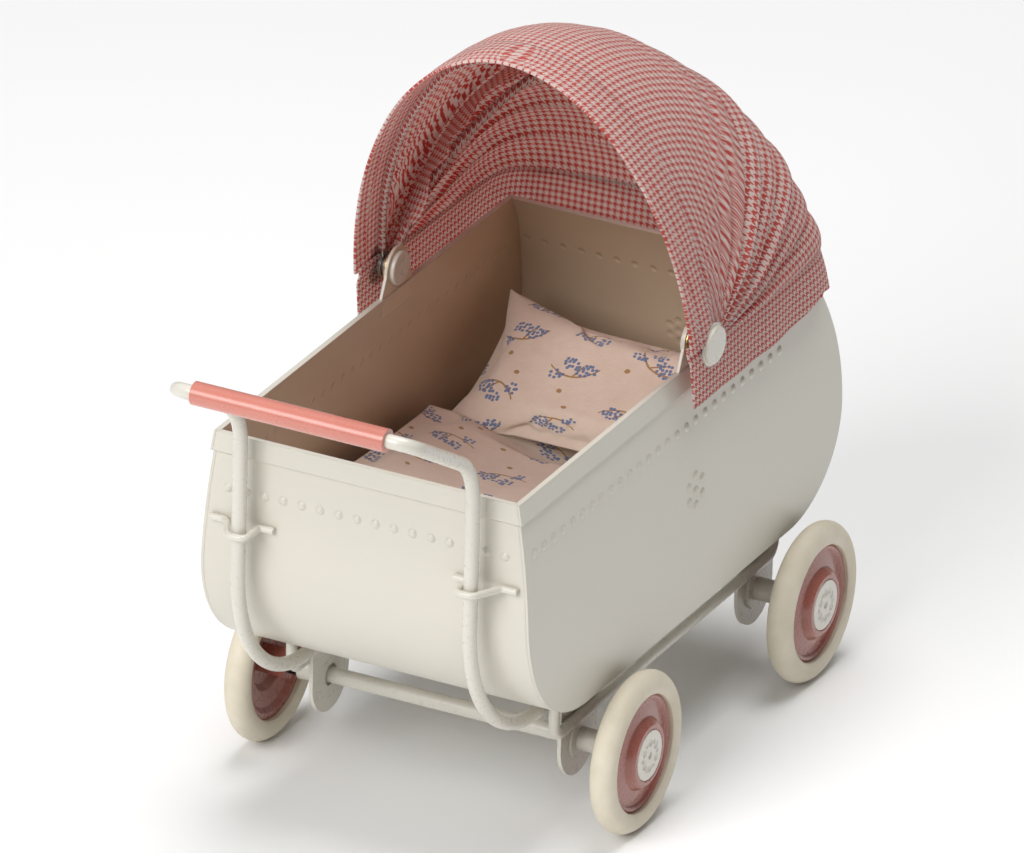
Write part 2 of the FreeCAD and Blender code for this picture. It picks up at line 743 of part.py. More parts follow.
for side_name, side in SIDES:
    head_t = size("rivet_head_thickness")
    inner_x = LUG_X - T - head_t
    head = disc_x(size("rivet_head_radius"), head_t, inner_x)
    head = head.makeFillet(head_t * 0.45, [e for e in head.Edges if abs(e.BoundBox.XMax - inner_x) < 1e-4])
    pin = disc_x(PIN_R, BUTTON_X - inner_x - 0.2, inner_x + 0.2)
    feature("hood_rivet_" + side_name, put_side(head.fuse(pin), side))
    brass = disc_x(size("brass_washer_radius"), size("brass_washer_thickness"), BRASS_X)
    brass = brass.cut(disc_x(PIN_BORE, 2, BRASS_X - 1))
    feature("brass_washer_" + side_name, put_side(brass, side))
    washer = disc_x(size("outer_washer_radius"), size("outer_washer_thickness"), WASHER_X)
    washer = washer.cut(disc_x(PIN_BORE, 2, WASHER_X - 1))
    feature("hood_washer_" + side_name, put_side(washer, side))
    thick = size("button_thickness")
    button = disc_x(size("button_radius"), thick, BUTTON_X)
    outer_edge = [e for e in button.Edges if abs(e.BoundBox.XMin - BUTTON_X - thick) < 1e-4]
    button = button.makeFillet(thick * 0.6, outer_edge)
    feature("hood_button_" + side_name, put_side(button, side))

# ---------------------------------------------------------------- hood bows


def bow(label, half_width, length, angle):
    """Arch of round wire with a flat eye on each pivot."""
    tilt = math.radians(angle)
    along = Vector(0, math.sin(tilt), math.cos(tilt))
    # three arcs that meet smoothly: a tight one at the crown and two long ones down the sides
    crown_r = 1.1 * half_width ** 2 / length
    rise = length - crown_r
    shift = (rise ** 2 - (half_width - crown_r) ** 2) / (2 * (half_width - crown_r))
    reach = math.atan2(rise, shift)

    def arch_point(x, height):
        return PIVOT + Vector(x, 0, 0) + along * height

    def side_point(side, share):
        angle_up = share * reach
        x = (half_width + shift) * math.cos(angle_up) - shift
        return arch_point(side * x, (half_width + shift) * math.sin(angle_up))

    spans = [
        Part.Arc(side_point(1, 0), side_point(1, 0.5), side_point(1, 1)).toShape(),
        Part.Arc(side_point(1, 1), arch_point(0, length), side_point(-1, 1)).toShape(),
        Part.Arc(side_point(-1, 1), side_point(-1, 0.5), side_point(-1, 0)).toShape(),
    ]
    wire = swept_wire(Part.Wire(spans), size("bow_wire_radius"))
    eye_r = size("bow_eye_radius")
    eyes = [
        disc_x(eye_r, EYE, half_width - EYE / 2),
        disc_x(eye_r, EYE, -half_width - EYE / 2),
    ]
    bores = [
        disc_x(PIN_BORE, 4, half_width - 2),
        disc_x(PIN_BORE, 4, -half_width - 2),
    ]
    # the wire stops at the eye's edge, so the bore stays open
    shape = wire.cut([disc_x(eye_r * 0.7, 4, half_width - 2), disc_x(eye_r * 0.7, 4, -half_width - 2)])
    return feature(label, shape.fuse(eyes).cut(bores))


bow("hood_bow_front", FRONT_X, size("front_bow_length"), size("front_bow_angle"))
bow("hood_bow_middle", MIDDLE_X, size("middle_bow_length"), size("middle_bow_angle"))

# ---------------------------------------------------------------- hood fabric

HOOD_A = size("hood_front_angle")
HOOD_B = size("hood_rear_angle")
SPRING = 0.17


def crown_point(angle, inset):
    """Point of the hood's ridge, by its angle about the pivot."""
    grow = size("hood_crown_growth") * (angle - size("hood_crown_angle")) ** 2
    reach = size("hood_crown_radius") + grow - inset
    turn = math.radians(angle)
    return Vector(0, PIVOT.y + reach * math.sin(turn), PIVOT.z + reach * math.cos(turn))


def hem_point(share):
    """Point of the lower hem, from the front edge round to the prow."""
    front = size("hood_hem_front_y")
    run = size("hood_hem_rear_y") - front
    lift = 1.5 * share ** 6
    return Vector(0, front + run * share ** 0.55, size("hood_hem_height") + lift)


def arch_row(angle, inset, count):
    """One arch of the hood, from the right hem over the crown to the left."""
    share = (angle - HOOD_A) / (HOOD_B - HOOD_A)
    foot = hem_point(share)
    crown = crown_point(angle, inset)
    half = size("fabric_half_width") - inset
    power = 2.0 / (2.0 + 1.8 * share ** 3)
    row = []
    straight = count // 5
    for k in range(straight):
        row.append(foot + (crown - foot) * (SPRING * k / straight) + Vector(half, 0, 0))
    arc = count - straight
    for k in range(arc):
        turn = math.pi / 2 * k / (arc - 1)
        wide = half * max(math.cos(turn), 0.0) ** power
        tall = SPRING + (1 - SPRING) * math.sin(turn) ** power
        if k == arc - 1:
            wide = 0.0
        row.append(foot + (crown - foot) * tall + Vector(wide, 0, 0))
    mirrored = [Vector(-p.x, p.y, p.z) for p in reversed(row[:-1])]
    return row + mirrored


def fabric_skin(first, last, inset, rows, count):
    grid = []
    for k in range(rows):
        angle = first + (last - first) * k / (rows - 1)
        grid.append(arch_row(angle, inset, count))
    skin = Part.BSplineSurface()
    skin.interpolate(grid)
    return skin


def fabric_piece(first, last, rows):
    """Closed sheet between two arches: outer skin, inner skin and four narrow edges."""
    outer = fabric_skin(first, last, 0.0, rows, 20)
    inner = fabric_skin(first, last, size("fabric_thickness"), rows, 20)
    u0, u1, v0, v1 = outer.bounds()
    faces = [outer.toShape(), inner.toShape()]
    for take in (
        lambda s: s.uIso(u0), lambda s: s.uIso(u1),
        lambda s: s.vIso(v0), lambda s: s.vIso(v1),
    ):
        faces.append(Part.makeRuledSurface(take(outer).toShape(), take(inner).toShape()))
    shell = Part.makeShell(faces)
    shell.sewShape()
    solid = Part.makeSolid(shell.Shells[0] if shell.Shells else shell)
    if solid.Volume < 0:
        solid.reverse()
    return solid


GAP_ANGLE = size("hood_panel_gap_angle")
BAND_A = size("hood_band_angle")
MID_A = size("middle_bow_angle")
front_band = fabric_piece(HOOD_A, BAND_A, 5)
pin_room = 1.3
for x in (size("fabric_half_width"), -size("fabric_half_width")):
    front_band = front_band.cut(disc_x(pin_room, 4, x - 2))
feature("hood_front_band", front_band)
feature("hood_panel_front", fabric_piece(BAND_A + GAP_ANGLE, MID_A, 9))
feature("hood_panel_rear", fabric_piece(MID_A + GAP_ANGLE, HOOD_B, 11))

# ---------------------------------------------------------------- bedding

CLEAR = size("bedding_clearance")


def yz_block(points, half_width):
    corners = [Vector(-half_width, y, z) for y, z in points]
    return Part.Face(Part.makePolygon(corners + corners[:1])).extrude(Vector(2 * half_width, 0, 0))


cavity = body_block(T + CLEAR, T + CLEAR, RIM_Z)
pillow_y = size("pillow_bottom_y")
duvet_top = size("duvet_height")
duvet_low = size("duvet_low_height")
duvet_points = [
    (REAR_WALL, FLOOR_Z - 1), (size("duvet_front_y"), FLOOR_Z - 1),
    (size("duvet_front_y"), duvet_low), (pillow_y - 0.5, duvet_low),
    (pillow_y - 3.5, duvet_top), (REAR_WALL, duvet_top),
]
duvet = yz_block(duvet_points, size("duvet_half_width"))
edge_top = size("duvet_edge_height")
ridge = Part.makePolygon([
    Vector(-size("duvet_half_width"), REAR_WALL + 12, duvet_top - 1),
    Vector(-size("duvet_half_width") + 16, REAR_WALL + 12, duvet_top - 1),
    Vector(-size("duvet_half_width"), REAR_WALL + 12, edge_top),
    Vector(-size("duvet_half_width"), REAR_WALL + 12, duvet_top - 1),
])
ridge = Part.Face(ridge).extrude(Vector(0, pillow_y - 22 - REAR_WALL - 12, 0))
feature("duvet", duvet.fuse(ridge).common(cavity).removeSplitter())

half = size("pillow_half_width")
length = size("pillow_length")
thick = size("pillow_thickness")
pillow = Part.makeBox(2 * half, length, thick, Vector(-half, 0, -thick / 2))
pillow = pillow.makeFillet(thick * 0.42, pillow.Edges)
tilt = Rotation(Vector(1, 0, 0), size("pillow_tilt"))
pillow_feature = doc.addObject("Part::Feature", "pillow")
pillow_feature.Shape = pillow
pillow_feature.Placement = Placement(Vector(0, pillow_y, size("pillow_bottom_height")), tilt)
keep(pillow_feature, "pillow")

# ---------------------------------------------------------------- check and export

doc.recompute()
for obj in doc.Objects:
    if "Invalid" in obj.State or "Error" in obj.State:
        raise RuntimeError("failed object: " + obj.Label)

os.makedirs("parts", exist_ok=True)
for obj in pieces:
    shape = obj.Shape
    if shape.isNull() or not shape.isValid():
        raise RuntimeError("bad shape: " + obj.Label)
    shape.exportStep("parts/%s.step" % obj.Label)
    box = shape.BoundBox
    print("%-28s solids %d  volume %9.2f  x %.1f..%.1f  y %.1f..%.1f  z %.1f..%.1f" % (
        obj.Label, len(shape.Solids), shape.Volume,
        box.XMin, box.XMax, box.YMin, box.YMax, box.ZMin, box.ZMax))
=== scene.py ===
"""Looks of the doll pram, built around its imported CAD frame.

Materials, lights and the camera are in metres. Cloth and bedding are worked out in millimetres.
"""

import json
import math

import bmesh
import bpy
import numpy as np
from mathutils import Matrix, Vector


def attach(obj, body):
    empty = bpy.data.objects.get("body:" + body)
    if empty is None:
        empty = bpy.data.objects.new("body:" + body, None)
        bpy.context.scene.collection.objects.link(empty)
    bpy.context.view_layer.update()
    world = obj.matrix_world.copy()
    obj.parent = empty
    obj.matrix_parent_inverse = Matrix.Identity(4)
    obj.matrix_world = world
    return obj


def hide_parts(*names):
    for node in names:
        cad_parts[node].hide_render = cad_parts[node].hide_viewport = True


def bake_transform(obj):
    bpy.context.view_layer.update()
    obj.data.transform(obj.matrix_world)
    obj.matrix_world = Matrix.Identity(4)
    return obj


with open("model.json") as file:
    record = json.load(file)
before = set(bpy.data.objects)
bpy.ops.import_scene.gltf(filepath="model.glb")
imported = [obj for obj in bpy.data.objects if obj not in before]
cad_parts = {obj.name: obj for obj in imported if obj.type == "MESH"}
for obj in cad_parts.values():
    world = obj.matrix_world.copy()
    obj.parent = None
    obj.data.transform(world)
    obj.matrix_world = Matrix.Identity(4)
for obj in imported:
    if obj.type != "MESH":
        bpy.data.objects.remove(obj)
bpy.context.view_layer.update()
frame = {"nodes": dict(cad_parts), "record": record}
nodes = frame["nodes"]
MM = 0.001
scene = bpy.context.scene

# ---------------------------------------------------------------- node helpers


class Graph:
    """A material's node tree, with short calls for the nodes used here."""

    def __init__(self, name):
        self.material = bpy.data.materials.new(name)
        self.material.use_nodes = True
        self.tree = self.material.node_tree
        self.tree.nodes.clear()
        self.out = self.tree.nodes.new("ShaderNodeOutputMaterial")
        self.shader = self.tree.nodes.new("ShaderNodeBsdfPrincipled")
        self.tree.links.new(self.shader.outputs[0], self.out.inputs[0])

    def add(self, kind, **settings):
        node = self.tree.nodes.new(kind)
        for key, value in settings.items():
            setattr(node, key, value)
        return node

    def plug(self, value, socket):
        if isinstance(value, bpy.types.NodeSocket):
            self.tree.links.new(value, socket)
        else:
            socket.default_value = value

    def math(self, operation, a, b=0.0, c=0.0, clamp=False):
        node = self.add("ShaderNodeMath", operation=operation, use_clamp=clamp)
        for value, socket in zip((a, b, c), node.inputs):
            self.plug(value, socket)
        return node.outputs[0]

    def mix(self, share, a, b, blend="MIX"):
        node = self.add("ShaderNodeMix", data_type="RGBA", blend_type=blend)
        self.plug(share, node.inputs[0])
        self.plug(rgba(a), node.inputs[6])
        self.plug(rgba(b), node.inputs[7])
        return node.outputs[2]

    def coordinate(self, which="Object"):
        return self.add("ShaderNodeTexCoord").outputs[which]

    def uv(self):
        return self.add("ShaderNodeUVMap", uv_map="weave").outputs[0]

    def split(self, vector):
        node = self.add("ShaderNodeSeparateXYZ")
        self.plug(vector, node.inputs[0])
        return node.outputs[0], node.outputs[1], node.outputs[2]

    def join(self, x, y, z=0.0):
        node = self.add("ShaderNodeCombineXYZ")
        for value, socket in zip((x, y, z), node.inputs):
            self.plug(value, socket)
        return node.outputs[0]

    def noise(self, vector, scale, detail=2.0, rough=0.5):
        node = self.add("ShaderNodeTexNoise")
        self.plug(vector, node.inputs["Vector"])
        node.inputs["Scale"].default_value = scale
        node.inputs["Detail"].default_value = detail
        node.inputs["Roughness"].default_value = rough
        return node.outputs["Fac"]

    def span(self, value, low, high, to_low=0.0, to_high=1.0, smooth=False):
        node = self.add("ShaderNodeMapRange", interpolation_type="SMOOTHSTEP" if smooth else "LINEAR")
        for v, socket in zip((value, low, high, to_low, to_high), node.inputs):
            self.plug(v, socket)
        return node.outputs[0]

    def bevel(self, radius):
        node = self.add("ShaderNodeBevel", samples=4)
        node.inputs["Radius"].default_value = radius
        return node.outputs[0]

    def bump(self, height, distance, strength=1.0, normal=None):
        node = self.add("ShaderNodeBump")
        self.plug(height, node.inputs["Height"])
        node.inputs["Distance"].default_value = distance
        node.inputs["Strength"].default_value = strength
        if normal is not None:
            self.plug(normal, node.inputs["Normal"])
        return node.outputs[0]

    def set(self, **values):
        for key, value in values.items():
            self.plug(value, self.shader.inputs[key.replace("_", " ")])


def rgba(colour):
    if isinstance(colour, (tuple, list)) and len(colour) == 3:
        return (*colour, 1.0)
    return colour


# ---------------------------------------------------------------- hard materials


def inside_share(g, axis):
    """1 on faces that look towards the middle of the tub, 0 on faces that look away from it."""
    surface = g.add("ShaderNodeNewGeometry")
    x, y, z = g.split(surface.outputs["Position"])
    a, b, c = g.split(surface.outputs["True Normal"])
    if axis == "y":
        outward = g.math("MULTIPLY", x, a)
    else:
        outward = g.math("ADD", g.math("MULTIPLY", y, b), g.math("MULTIPLY", g.math("SUBTRACT", z, 0.060), c))
    return g.span(outward, -0.002, 0.0, 1.0, 0.0)


DOT_PITCH, DOT_ROW_HEIGHT, FLOWER_HEIGHT = 0.0039, 0.0706, 0.0567


def dents(g, axis):
    """Backs of the pressed dots: a row under the rim and, on the end walls, a seven-dot flower."""
    x, y, z = g.split(g.coordinate())
    along = x if axis == "x" else y
    step = g.math("PINGPONG", along, DOT_PITCH / 2)
    rise = g.math("SUBTRACT", z, DOT_ROW_HEIGHT)
    reach = g.math("SQRT", g.math("ADD", g.math("MULTIPLY", step, step), g.math("MULTIPLY", rise, rise)))
    if axis == "x":
        rise = g.math("SUBTRACT", z, FLOWER_HEIGHT)
        centre = g.math("SQRT", g.math("ADD", g.math("MULTIPLY", x, x), g.math("MULTIPLY", rise, rise)))
        turn = g.math("MULTIPLY", g.math("ARCTAN2", rise, x), 6.0 / (2 * math.pi))
        near = g.math("ABSOLUTE", g.math("SUBTRACT", g.math("FRACT", turn), 0.5))
        around = g.math("MULTIPLY", g.math("MULTIPLY", near, 2 * math.pi / 6), centre)
        out = g.math("SUBTRACT", centre, 0.0023)
        around, out = g.math("MULTIPLY", around, around), g.math("MULTIPLY", out, out)
        petal = g.math("SQRT", g.math("ADD", around, out))
        reach = g.math("MINIMUM", reach, g.math("MINIMUM", petal, centre))
    return g.span(reach, 0.0002, 0.0010, 1.0, 0.0, True)


def enamel(name, colour, dark, gloss=0.36, coat=0.35, edge=0.00035, tub_axis=None):
    """Sprayed enamel on sheet metal: faint mottling, fine orange peel, and soft rolled edges."""
    g = Graph(name)
    place = g.coordinate()
    mottling = g.noise(place, 55.0, 4.0, 0.6)
    speck = g.noise(place, 900.0, 3.0, 0.7)
    colour_out = g.mix(g.span(mottling, 0.35, 0.7), colour, dark)
    colour_out = g.mix(g.span(speck, 0.66, 0.8, 0.0, 0.10), colour_out, tuple(0.72 * c for c in dark))
    peel = g.math("MULTIPLY", g.noise(place, 420.0, 2.0), 0.012)
    relief = g.math("ADD", peel, g.math("MULTIPLY", mottling, 0.03))
    if tub_axis:
        inner = inside_share(g, tub_axis)
        # Inside faces of the tub get a darker, warmer colour: painted shade and painted warm bounce light
        # from the bedding.
        painted_inner_shade = g.mix(1.0, colour_out, (0.98, 0.80, 0.66), "MULTIPLY")
        colour_out = g.mix(inner, colour_out, painted_inner_shade)
        pressed = g.math("MULTIPLY", inner, dents(g, tub_axis))
        relief = g.math("ADD", relief, g.math("MULTIPLY", pressed, -0.2))
    g.set(Base_Color=colour_out, Roughness=g.span(speck, 0.2, 0.8, gloss - 0.05, gloss + 0.08))
    g.shader.inputs["Coat Weight"].default_value = coat
    g.shader.inputs["Coat Roughness"].default_value = 0.22
    g.shader.inputs["Specular IOR Level"].default_value = 0.5
    g.set(Normal=g.bump(relief, 0.001, 0.9, g.bevel(edge)))
    return g.material


def rubber():
    g = Graph("ivory_rubber")
    place = g.coordinate()
    stain = g.noise(place, 160.0, 5.0, 0.65)
    colour = g.mix(g.span(stain, 0.35, 0.75), (0.74, 0.675, 0.55), (0.66, 0.595, 0.46))
    g.set(Base_Color=colour, Roughness=g.span(stain, 0.3, 0.8, 0.5, 0.68))
    g.shader.inputs["Subsurface Weight"].default_value = 0.06
    g.shader.inputs["Subsurface Radius"].default_value = (0.002, 0.0015, 0.001)
    g.set(Normal=g.bump(g.noise(place, 1500.0, 3.0), 0.00006, 0.6, g.bevel(0.0003)))
    return g.material


def metal(name, colour, rough, streak):
    g = Graph(name)
    place = g.coordinate()
    x, y, z = g.split(place)
    drawn = g.noise(g.join(g.math("MULTIPLY", x, 0.1), y, z), streak, 3.0)
    g.set(Base_Color=g.mix(drawn, colour, tuple(0.7 * c for c in colour)), Metallic=1.0)
    g.set(Roughness=g.span(drawn, 0.2, 0.8, rough - 0.08, rough + 0.1))
    g.set(Normal=g.bump(drawn, 0.00005, 0.4, g.bevel(0.00015)))
    return g.material


cream = enamel("cream_paint", (0.645, 0.615, 0.535), (0.70, 0.668, 0.575))
wrap_cream = enamel("cream_paint_wrap", (0.645, 0.615, 0.535), (0.64, 0.612, 0.53), tub_axis="x")
panel_cream = enamel("cream_paint_panel", (0.645, 0.615, 0.535), (0.64, 0.612, 0.53), tub_axis="y")
cream_small = enamel("cream_paint_small", (0.67, 0.64, 0.565), (0.645, 0.617, 0.54), 0.28, 0.45, 0.0002)
coral = enamel("coral_paint", (0.37, 0.118, 0.085), (0.33, 0.10, 0.072), 0.27, 0.6, 0.0003)
grip_paint = enamel("coral_grip", (0.60, 0.215, 0.165), (0.55, 0.19, 0.145), 0.24, 0.6, 0.0002)
rubber_mat = rubber()
black = metal("black_steel", (0.02, 0.02, 0.022), 0.35, 900.0)
brass = metal("brass", (0.66, 0.43, 0.17), 0.28, 1200.0)
steel = metal("spring_steel", (0.5, 0.5, 0.48), 0.3, 1500.0)


def hub_cap_material():
    """Cream cap with a ring of pressed dimples round a middle one; the dimples are darkened in colour as
    painted shade.
    """
    g = Graph("hub_cap_paint")
    place = g.coordinate("Generated")
    x, y, z = g.split(place)
    y = g.math("SUBTRACT", y, 0.5)
    z = g.math("SUBTRACT", z, 0.5)
    angle = g.math("ARCTAN2", z, y)
    reach = g.math("SQRT", g.math("ADD", g.math("MULTIPLY", y, y), g.math("MULTIPLY", z, z)))
    turn = g.math("MULTIPLY", angle, 6.0 / (2 * math.pi))
    near = g.math("ABSOLUTE", g.math("SUBTRACT", g.math("FRACT", turn), 0.5))
    across = g.math("MULTIPLY", g.math("MULTIPLY", near, 2 * math.pi / 6), reach)
    out = g.math("SUBTRACT", reach, 0.27)
    ring = g.math("SQRT", g.math("ADD", g.math("MULTIPLY", across, across), g.math("MULTIPLY", out, out)))
    pit = g.math("MINIMUM", ring, reach)
    depth = g.span(pit, 0.02, 0.095, 0.0, 1.0, True)
    speck = g.noise(g.coordinate(), 900.0, 3.0, 0.7)
    # Dimple centres are mixed towards a darker colour: painted shade in the recesses.
    g.set(Base_Color=g.mix(g.span(depth, 0.0, 1.0, 0.35, 0.0), (0.74, 0.71, 0.63), (0.5, 0.46, 0.38)))
    g.set(Roughness=g.span(speck, 0.2, 0.8, 0.28, 0.4))
    g.shader.inputs["Coat Weight"].default_value = 0.4
    g.set(Normal=g.bump(depth, 0.0005, 0.9, g.bevel(0.0003)))
    return g.material


cap_mat = hub_cap_material()

# ---------------------------------------------------------------- cloth materials


def cloth_finish(g, height, distance, normal_strength=0.9, sheen=0.35):
    g.shader.inputs["Roughness"].default_value = 0.88
    g.shader.inputs["Specular IOR Level"].default_value = 0.25
    g.shader.inputs["Sheen Weight"].default_value = sheen
    g.shader.inputs["Sheen Roughness"].default_value = 0.45
    g.set(Normal=g.bump(height, distance, normal_strength))


def glow_through(g, colour, share):
    """Thin cloth lets some light through."""
    through = g.add("ShaderNodeBsdfTranslucent")
    g.plug(colour, through.inputs[0])
    both = g.add("ShaderNodeMixShader")
    both.inputs[0].default_value = share
    g.tree.links.new(g.shader.outputs[0], both.inputs[1])
    g.tree.links.new(through.outputs[0], both.inputs[2])
    g.tree.links.new(both.outputs[0], g.out.inputs[0])


def check_cloth(repeat_mm=1.45):
    """Small two-colour check in a two-up two-down twill, with the threads raised."""
    g = Graph("check_fabric")
    u, v, _ = g.split(g.uv())
    place = g.coordinate()
    slub = g.noise(place, 700.0, 3.0, 0.6)
    drift = g.math("MULTIPLY", g.math("SUBTRACT", slub, 0.5), 0.16)
    u = g.math("ADD", g.math("MULTIPLY", u, 1.0 / repeat_mm), drift)
    v = g.math("ADD", g.math("MULTIPLY", v, 1.0 / repeat_mm), drift)
    warp = g.span(g.math("PINGPONG", u, 0.5), 0.23, 0.31)
    weft = g.span(g.math("PINGPONG", v, 0.5), 0.23, 0.31)
    twill = g.math("GREATER_THAN", g.math("FRACT", g.math("MULTIPLY", g.math("ADD", u, v), 2.0)), 0.5)
    weft_shows = g.math("MULTIPLY", g.math("SUBTRACT", 1.0, twill), weft)
    red = g.math("ADD", g.math("MULTIPLY", twill, warp), weft_shows)
    fade = g.noise(place, 120.0, 4.0, 0.6)
    dyed = g.mix(g.span(fade, 0.3, 0.7), (0.70, 0.15, 0.12), (0.62, 0.12, 0.10))
    plain = g.mix(g.span(slub, 0.3, 0.7), (0.93, 0.86, 0.82), (0.86, 0.77, 0.72))
    colour = g.mix(red, plain, dyed)
    thread_u = g.math("PINGPONG", g.math("MULTIPLY", u, 8.0), 0.5)
    thread_v = g.math("PINGPONG", g.math("MULTIPLY", v, 8.0), 0.5)
    woven = g.math("ADD", g.math("MAXIMUM", thread_u, thread_v), g.math("MULTIPLY", slub, 0.6))
    woven = g.math("ADD", woven, g.math("MULTIPLY", red, 0.2))
    g.set(Base_Color=colour)
    cloth_finish(g, woven, 0.00006, 0.8)
    glow_through(g, colour, 0.55)
    return g.material


def sprig_shape(g, x, y):
    """How far inside a sprig's three berry clusters a point is, in cell units."""
    parts = []
    clusters = ((0.17, 0.10, 0.165, 0.135), (-0.07, 0.22, 0.135, 0.11), (-0.25, -0.03, 0.115, 0.095))
    for cx, cy, rx, ry in clusters:
        dx = g.math("DIVIDE", g.math("SUBTRACT", x, cx), rx)
        dy = g.math("DIVIDE", g.math("SUBTRACT", y, cy), ry)
        parts.append(g.math("ADD", g.math("MULTIPLY", dx, dx), g.math("MULTIPLY", dy, dy)))
    return g.math("MINIMUM", g.math("MINIMUM", parts[0], parts[1]), parts[2])


def print_cloth(cell_mm=13.6):
    """Plain linen with printed sprigs: ochre stems, clusters of blue berries and single ochre dots."""
    g = Graph("print_fabric")
    u, v, _ = g.split(g.uv())
    place = g.coordinate()

    def cell_frame(pu, pv):
        """A point's place in its own cell of a half-dropped grid, turned by the cell's own angle."""
        cu = g.math("DIVIDE", pu, cell_mm)
        column = g.math("FLOOR", cu)
        drop = g.math("MULTIPLY", g.math("MODULO", g.math("ABSOLUTE", column), 2.0), 0.5)
        cv = g.math("ADD", g.math("DIVIDE", pv, cell_mm * 0.86), drop)
        row = g.math("FLOOR", cv)
        fx = g.math("SUBTRACT", g.math("SUBTRACT", cu, column), 0.5)
        fy = g.math("SUBTRACT", g.math("SUBTRACT", cv, row), 0.5)
        chance = g.add("ShaderNodeTexWhiteNoise", noise_dimensions="2D")
        g.plug(g.join(column, row), chance.inputs["Vector"])
        turn = g.span(chance.outputs["Value"], 0.0, 1.0, -0.9, 0.9)
        odd_row = g.math("MODULO", g.math("ABSOLUTE", row), 2.0)
        turn = g.math("ADD", turn, g.math("MULTIPLY", odd_row, math.pi))
        c, s = g.math("COSINE", turn), g.math("SINE", turn)
        x = g.math("SUBTRACT", g.math("MULTIPLY", fx, c), g.math("MULTIPLY", fy, s))
        y = g.math("ADD", g.math("MULTIPLY", fx, s), g.math("MULTIPLY", fy, c))
        return x, y

    wobble = g.math("MULTIPLY", g.math("SUBTRACT", g.noise(place, 900.0, 2.0), 0.5), 0.25)
    x, y = cell_frame(g.math("ADD", u, wobble), g.math("ADD", v, wobble))
    berries = g.add("ShaderNodeTexVoronoi", voronoi_dimensions="2D", feature="F1")
    g.plug(g.join(u, v), berries.inputs["Vector"])
    pitch = 0.80
    berries.inputs["Scale"].default_value = 1.0 / pitch
    berries.inputs["Randomness"].default_value = 0.62
    bu, bv, _ = g.split(berries.outputs["Position"])
    bx, by = cell_frame(bu, bv)
    inside = g.math("LESS_THAN", sprig_shape(g, bx, by), 1.0)
    dot = g.span(g.math("MULTIPLY", berries.outputs["Distance"], pitch), 0.31, 0.38, 1.0, 0.0)
    blue = g.math("MULTIPLY", inside, dot)

    def line(distance, reach, length):
        """A drawn line: near its own path, and only as far along as its length."""
        near = g.span(g.math("ABSOLUTE", distance), 0.012, 0.021, 1.0, 0.0)
        return g.math("MULTIPLY", near, g.math("LESS_THAN", g.math("ABSOLUTE", reach), length))

    arc = g.math("SUBTRACT", g.math("MULTIPLY", g.math("MULTIPLY", x, x), 1.5), 0.05)
    stem = line(g.math("SUBTRACT", y, arc), x, 0.36)
    slant = g.math("SUBTRACT", g.math("SUBTRACT", x, g.math("MULTIPLY", y, 0.55)), 0.02)
    twig = line(slant, g.math("SUBTRACT", y, 0.06), 0.12)
    lone_x, lone_y = g.math("SUBTRACT", x, -0.12), g.math("SUBTRACT", y, -0.34)
    square_x, square_y = g.math("MULTIPLY", lone_x, lone_x), g.math("MULTIPLY", lone_y, lone_y)
    lone = g.math("SQRT", g.math("ADD", square_x, square_y))
    lone = g.span(lone, 0.036, 0.046, 1.0, 0.0)
    ochre = g.math("MAXIMUM", g.math("MAXIMUM", stem, twig), lone)
    linen = g.noise(place, 260.0, 4.0, 0.6)
    ground = g.mix(g.span(linen, 0.3, 0.7), (0.90, 0.755, 0.64), (0.84, 0.69, 0.57))
    colour = g.mix(g.math("MULTIPLY", ochre, 0.9), ground, (0.44, 0.24, 0.06))
    colour = g.mix(g.math("MULTIPLY", blue, 0.92), colour, (0.13, 0.215, 0.42))
    weave_u = g.math("PINGPONG", g.math("MULTIPLY", u, 5.5), 0.5)
    weave_v = g.math("PINGPONG", g.math("MULTIPLY", v, 5.5), 0.5)
    thread = g.noise(g.join(g.math("MULTIPLY", u, 0.35), g.math("MULTIPLY", v, 3.0)), 2.0, 3.0)
    height = g.math("ADD", g.math("MAXIMUM", weave_u, weave_v), thread)
    shade = g.span(height, 0.4, 1.3, 0.93, 1.04)
    colour = g.mix(1.0, colour, g.join(shade, shade, shade), "MULTIPLY")
    g.set(Base_Color=colour)
    cloth_finish(g, height, 0.00012, 0.8, 0.3)
    return g.material


check = check_cloth()
sprig = print_cloth()

# ---------------------------------------------------------------- carried-over metalwork

SLOT_LOOKS = {
    "ivory_rubber": rubber_mat, "coral_paint": coral, "coral_grip": grip_paint,
    "black_steel": black, "brass": brass, "spring_steel": steel, "cream_paint": cream,
}
SMALL_CREAM = ("hood_rivet", "hood_washer", "hood_button", "handle_", "chassis", "axle_")
for part in frame["record"]["subparts"]:
    node, slot = nodes[part["node"]], part["material_slot"]
    if slot not in SLOT_LOOKS:
        continue
    look = SLOT_LOOKS[slot]
    if part["node"].startswith(SMALL_CREAM) and slot == "cream_paint":
        look = cream_small
    if part["node"].startswith("hub_cap"):
        look = cap_mat
    if part["node"] == "tub_wrap":
        look = wrap_cream
    if part["node"].startswith("side_panel"):
        look = panel_cream
    node.data.materials.clear()
    node.data.materials.append(look)

# ---------------------------------------------------------------- mesh helpers


def mesh_object(name, points, faces, material, uv=None, smooth=True):
    """Mesh from points in millimetres; uv is one (u, v) per point."""
    mesh = bpy.data.meshes.new(name)
    mesh.from_pydata([tuple(p) for p in np.asarray(points, float) * MM], [], faces)
    mesh.materials.append(material)
    if uv is not None:
        layer = mesh.uv_layers.new(name="weave")
        loops = np.zeros(len(mesh.loops), int)
        mesh.loops.foreach_get("vertex_index", loops)
        layer.data.foreach_set("uv", np.asarray(uv, np.float32)[loops].ravel())
    mesh.polygons.foreach_set("use_smooth", [smooth] * len(mesh.polygons))
    mesh.update()
    obj = bpy.data.objects.new(name, mesh)
    scene.collection.objects.link(obj)
    return obj


def cloth_object(name, points, uv, flip=False):
    """Check cloth over a grid of points."""
    faces = grid_faces(*points.shape[:2], flip=flip)
    return mesh_object(name, points.reshape(-1, 3), faces, check, uv.reshape(-1, 2))


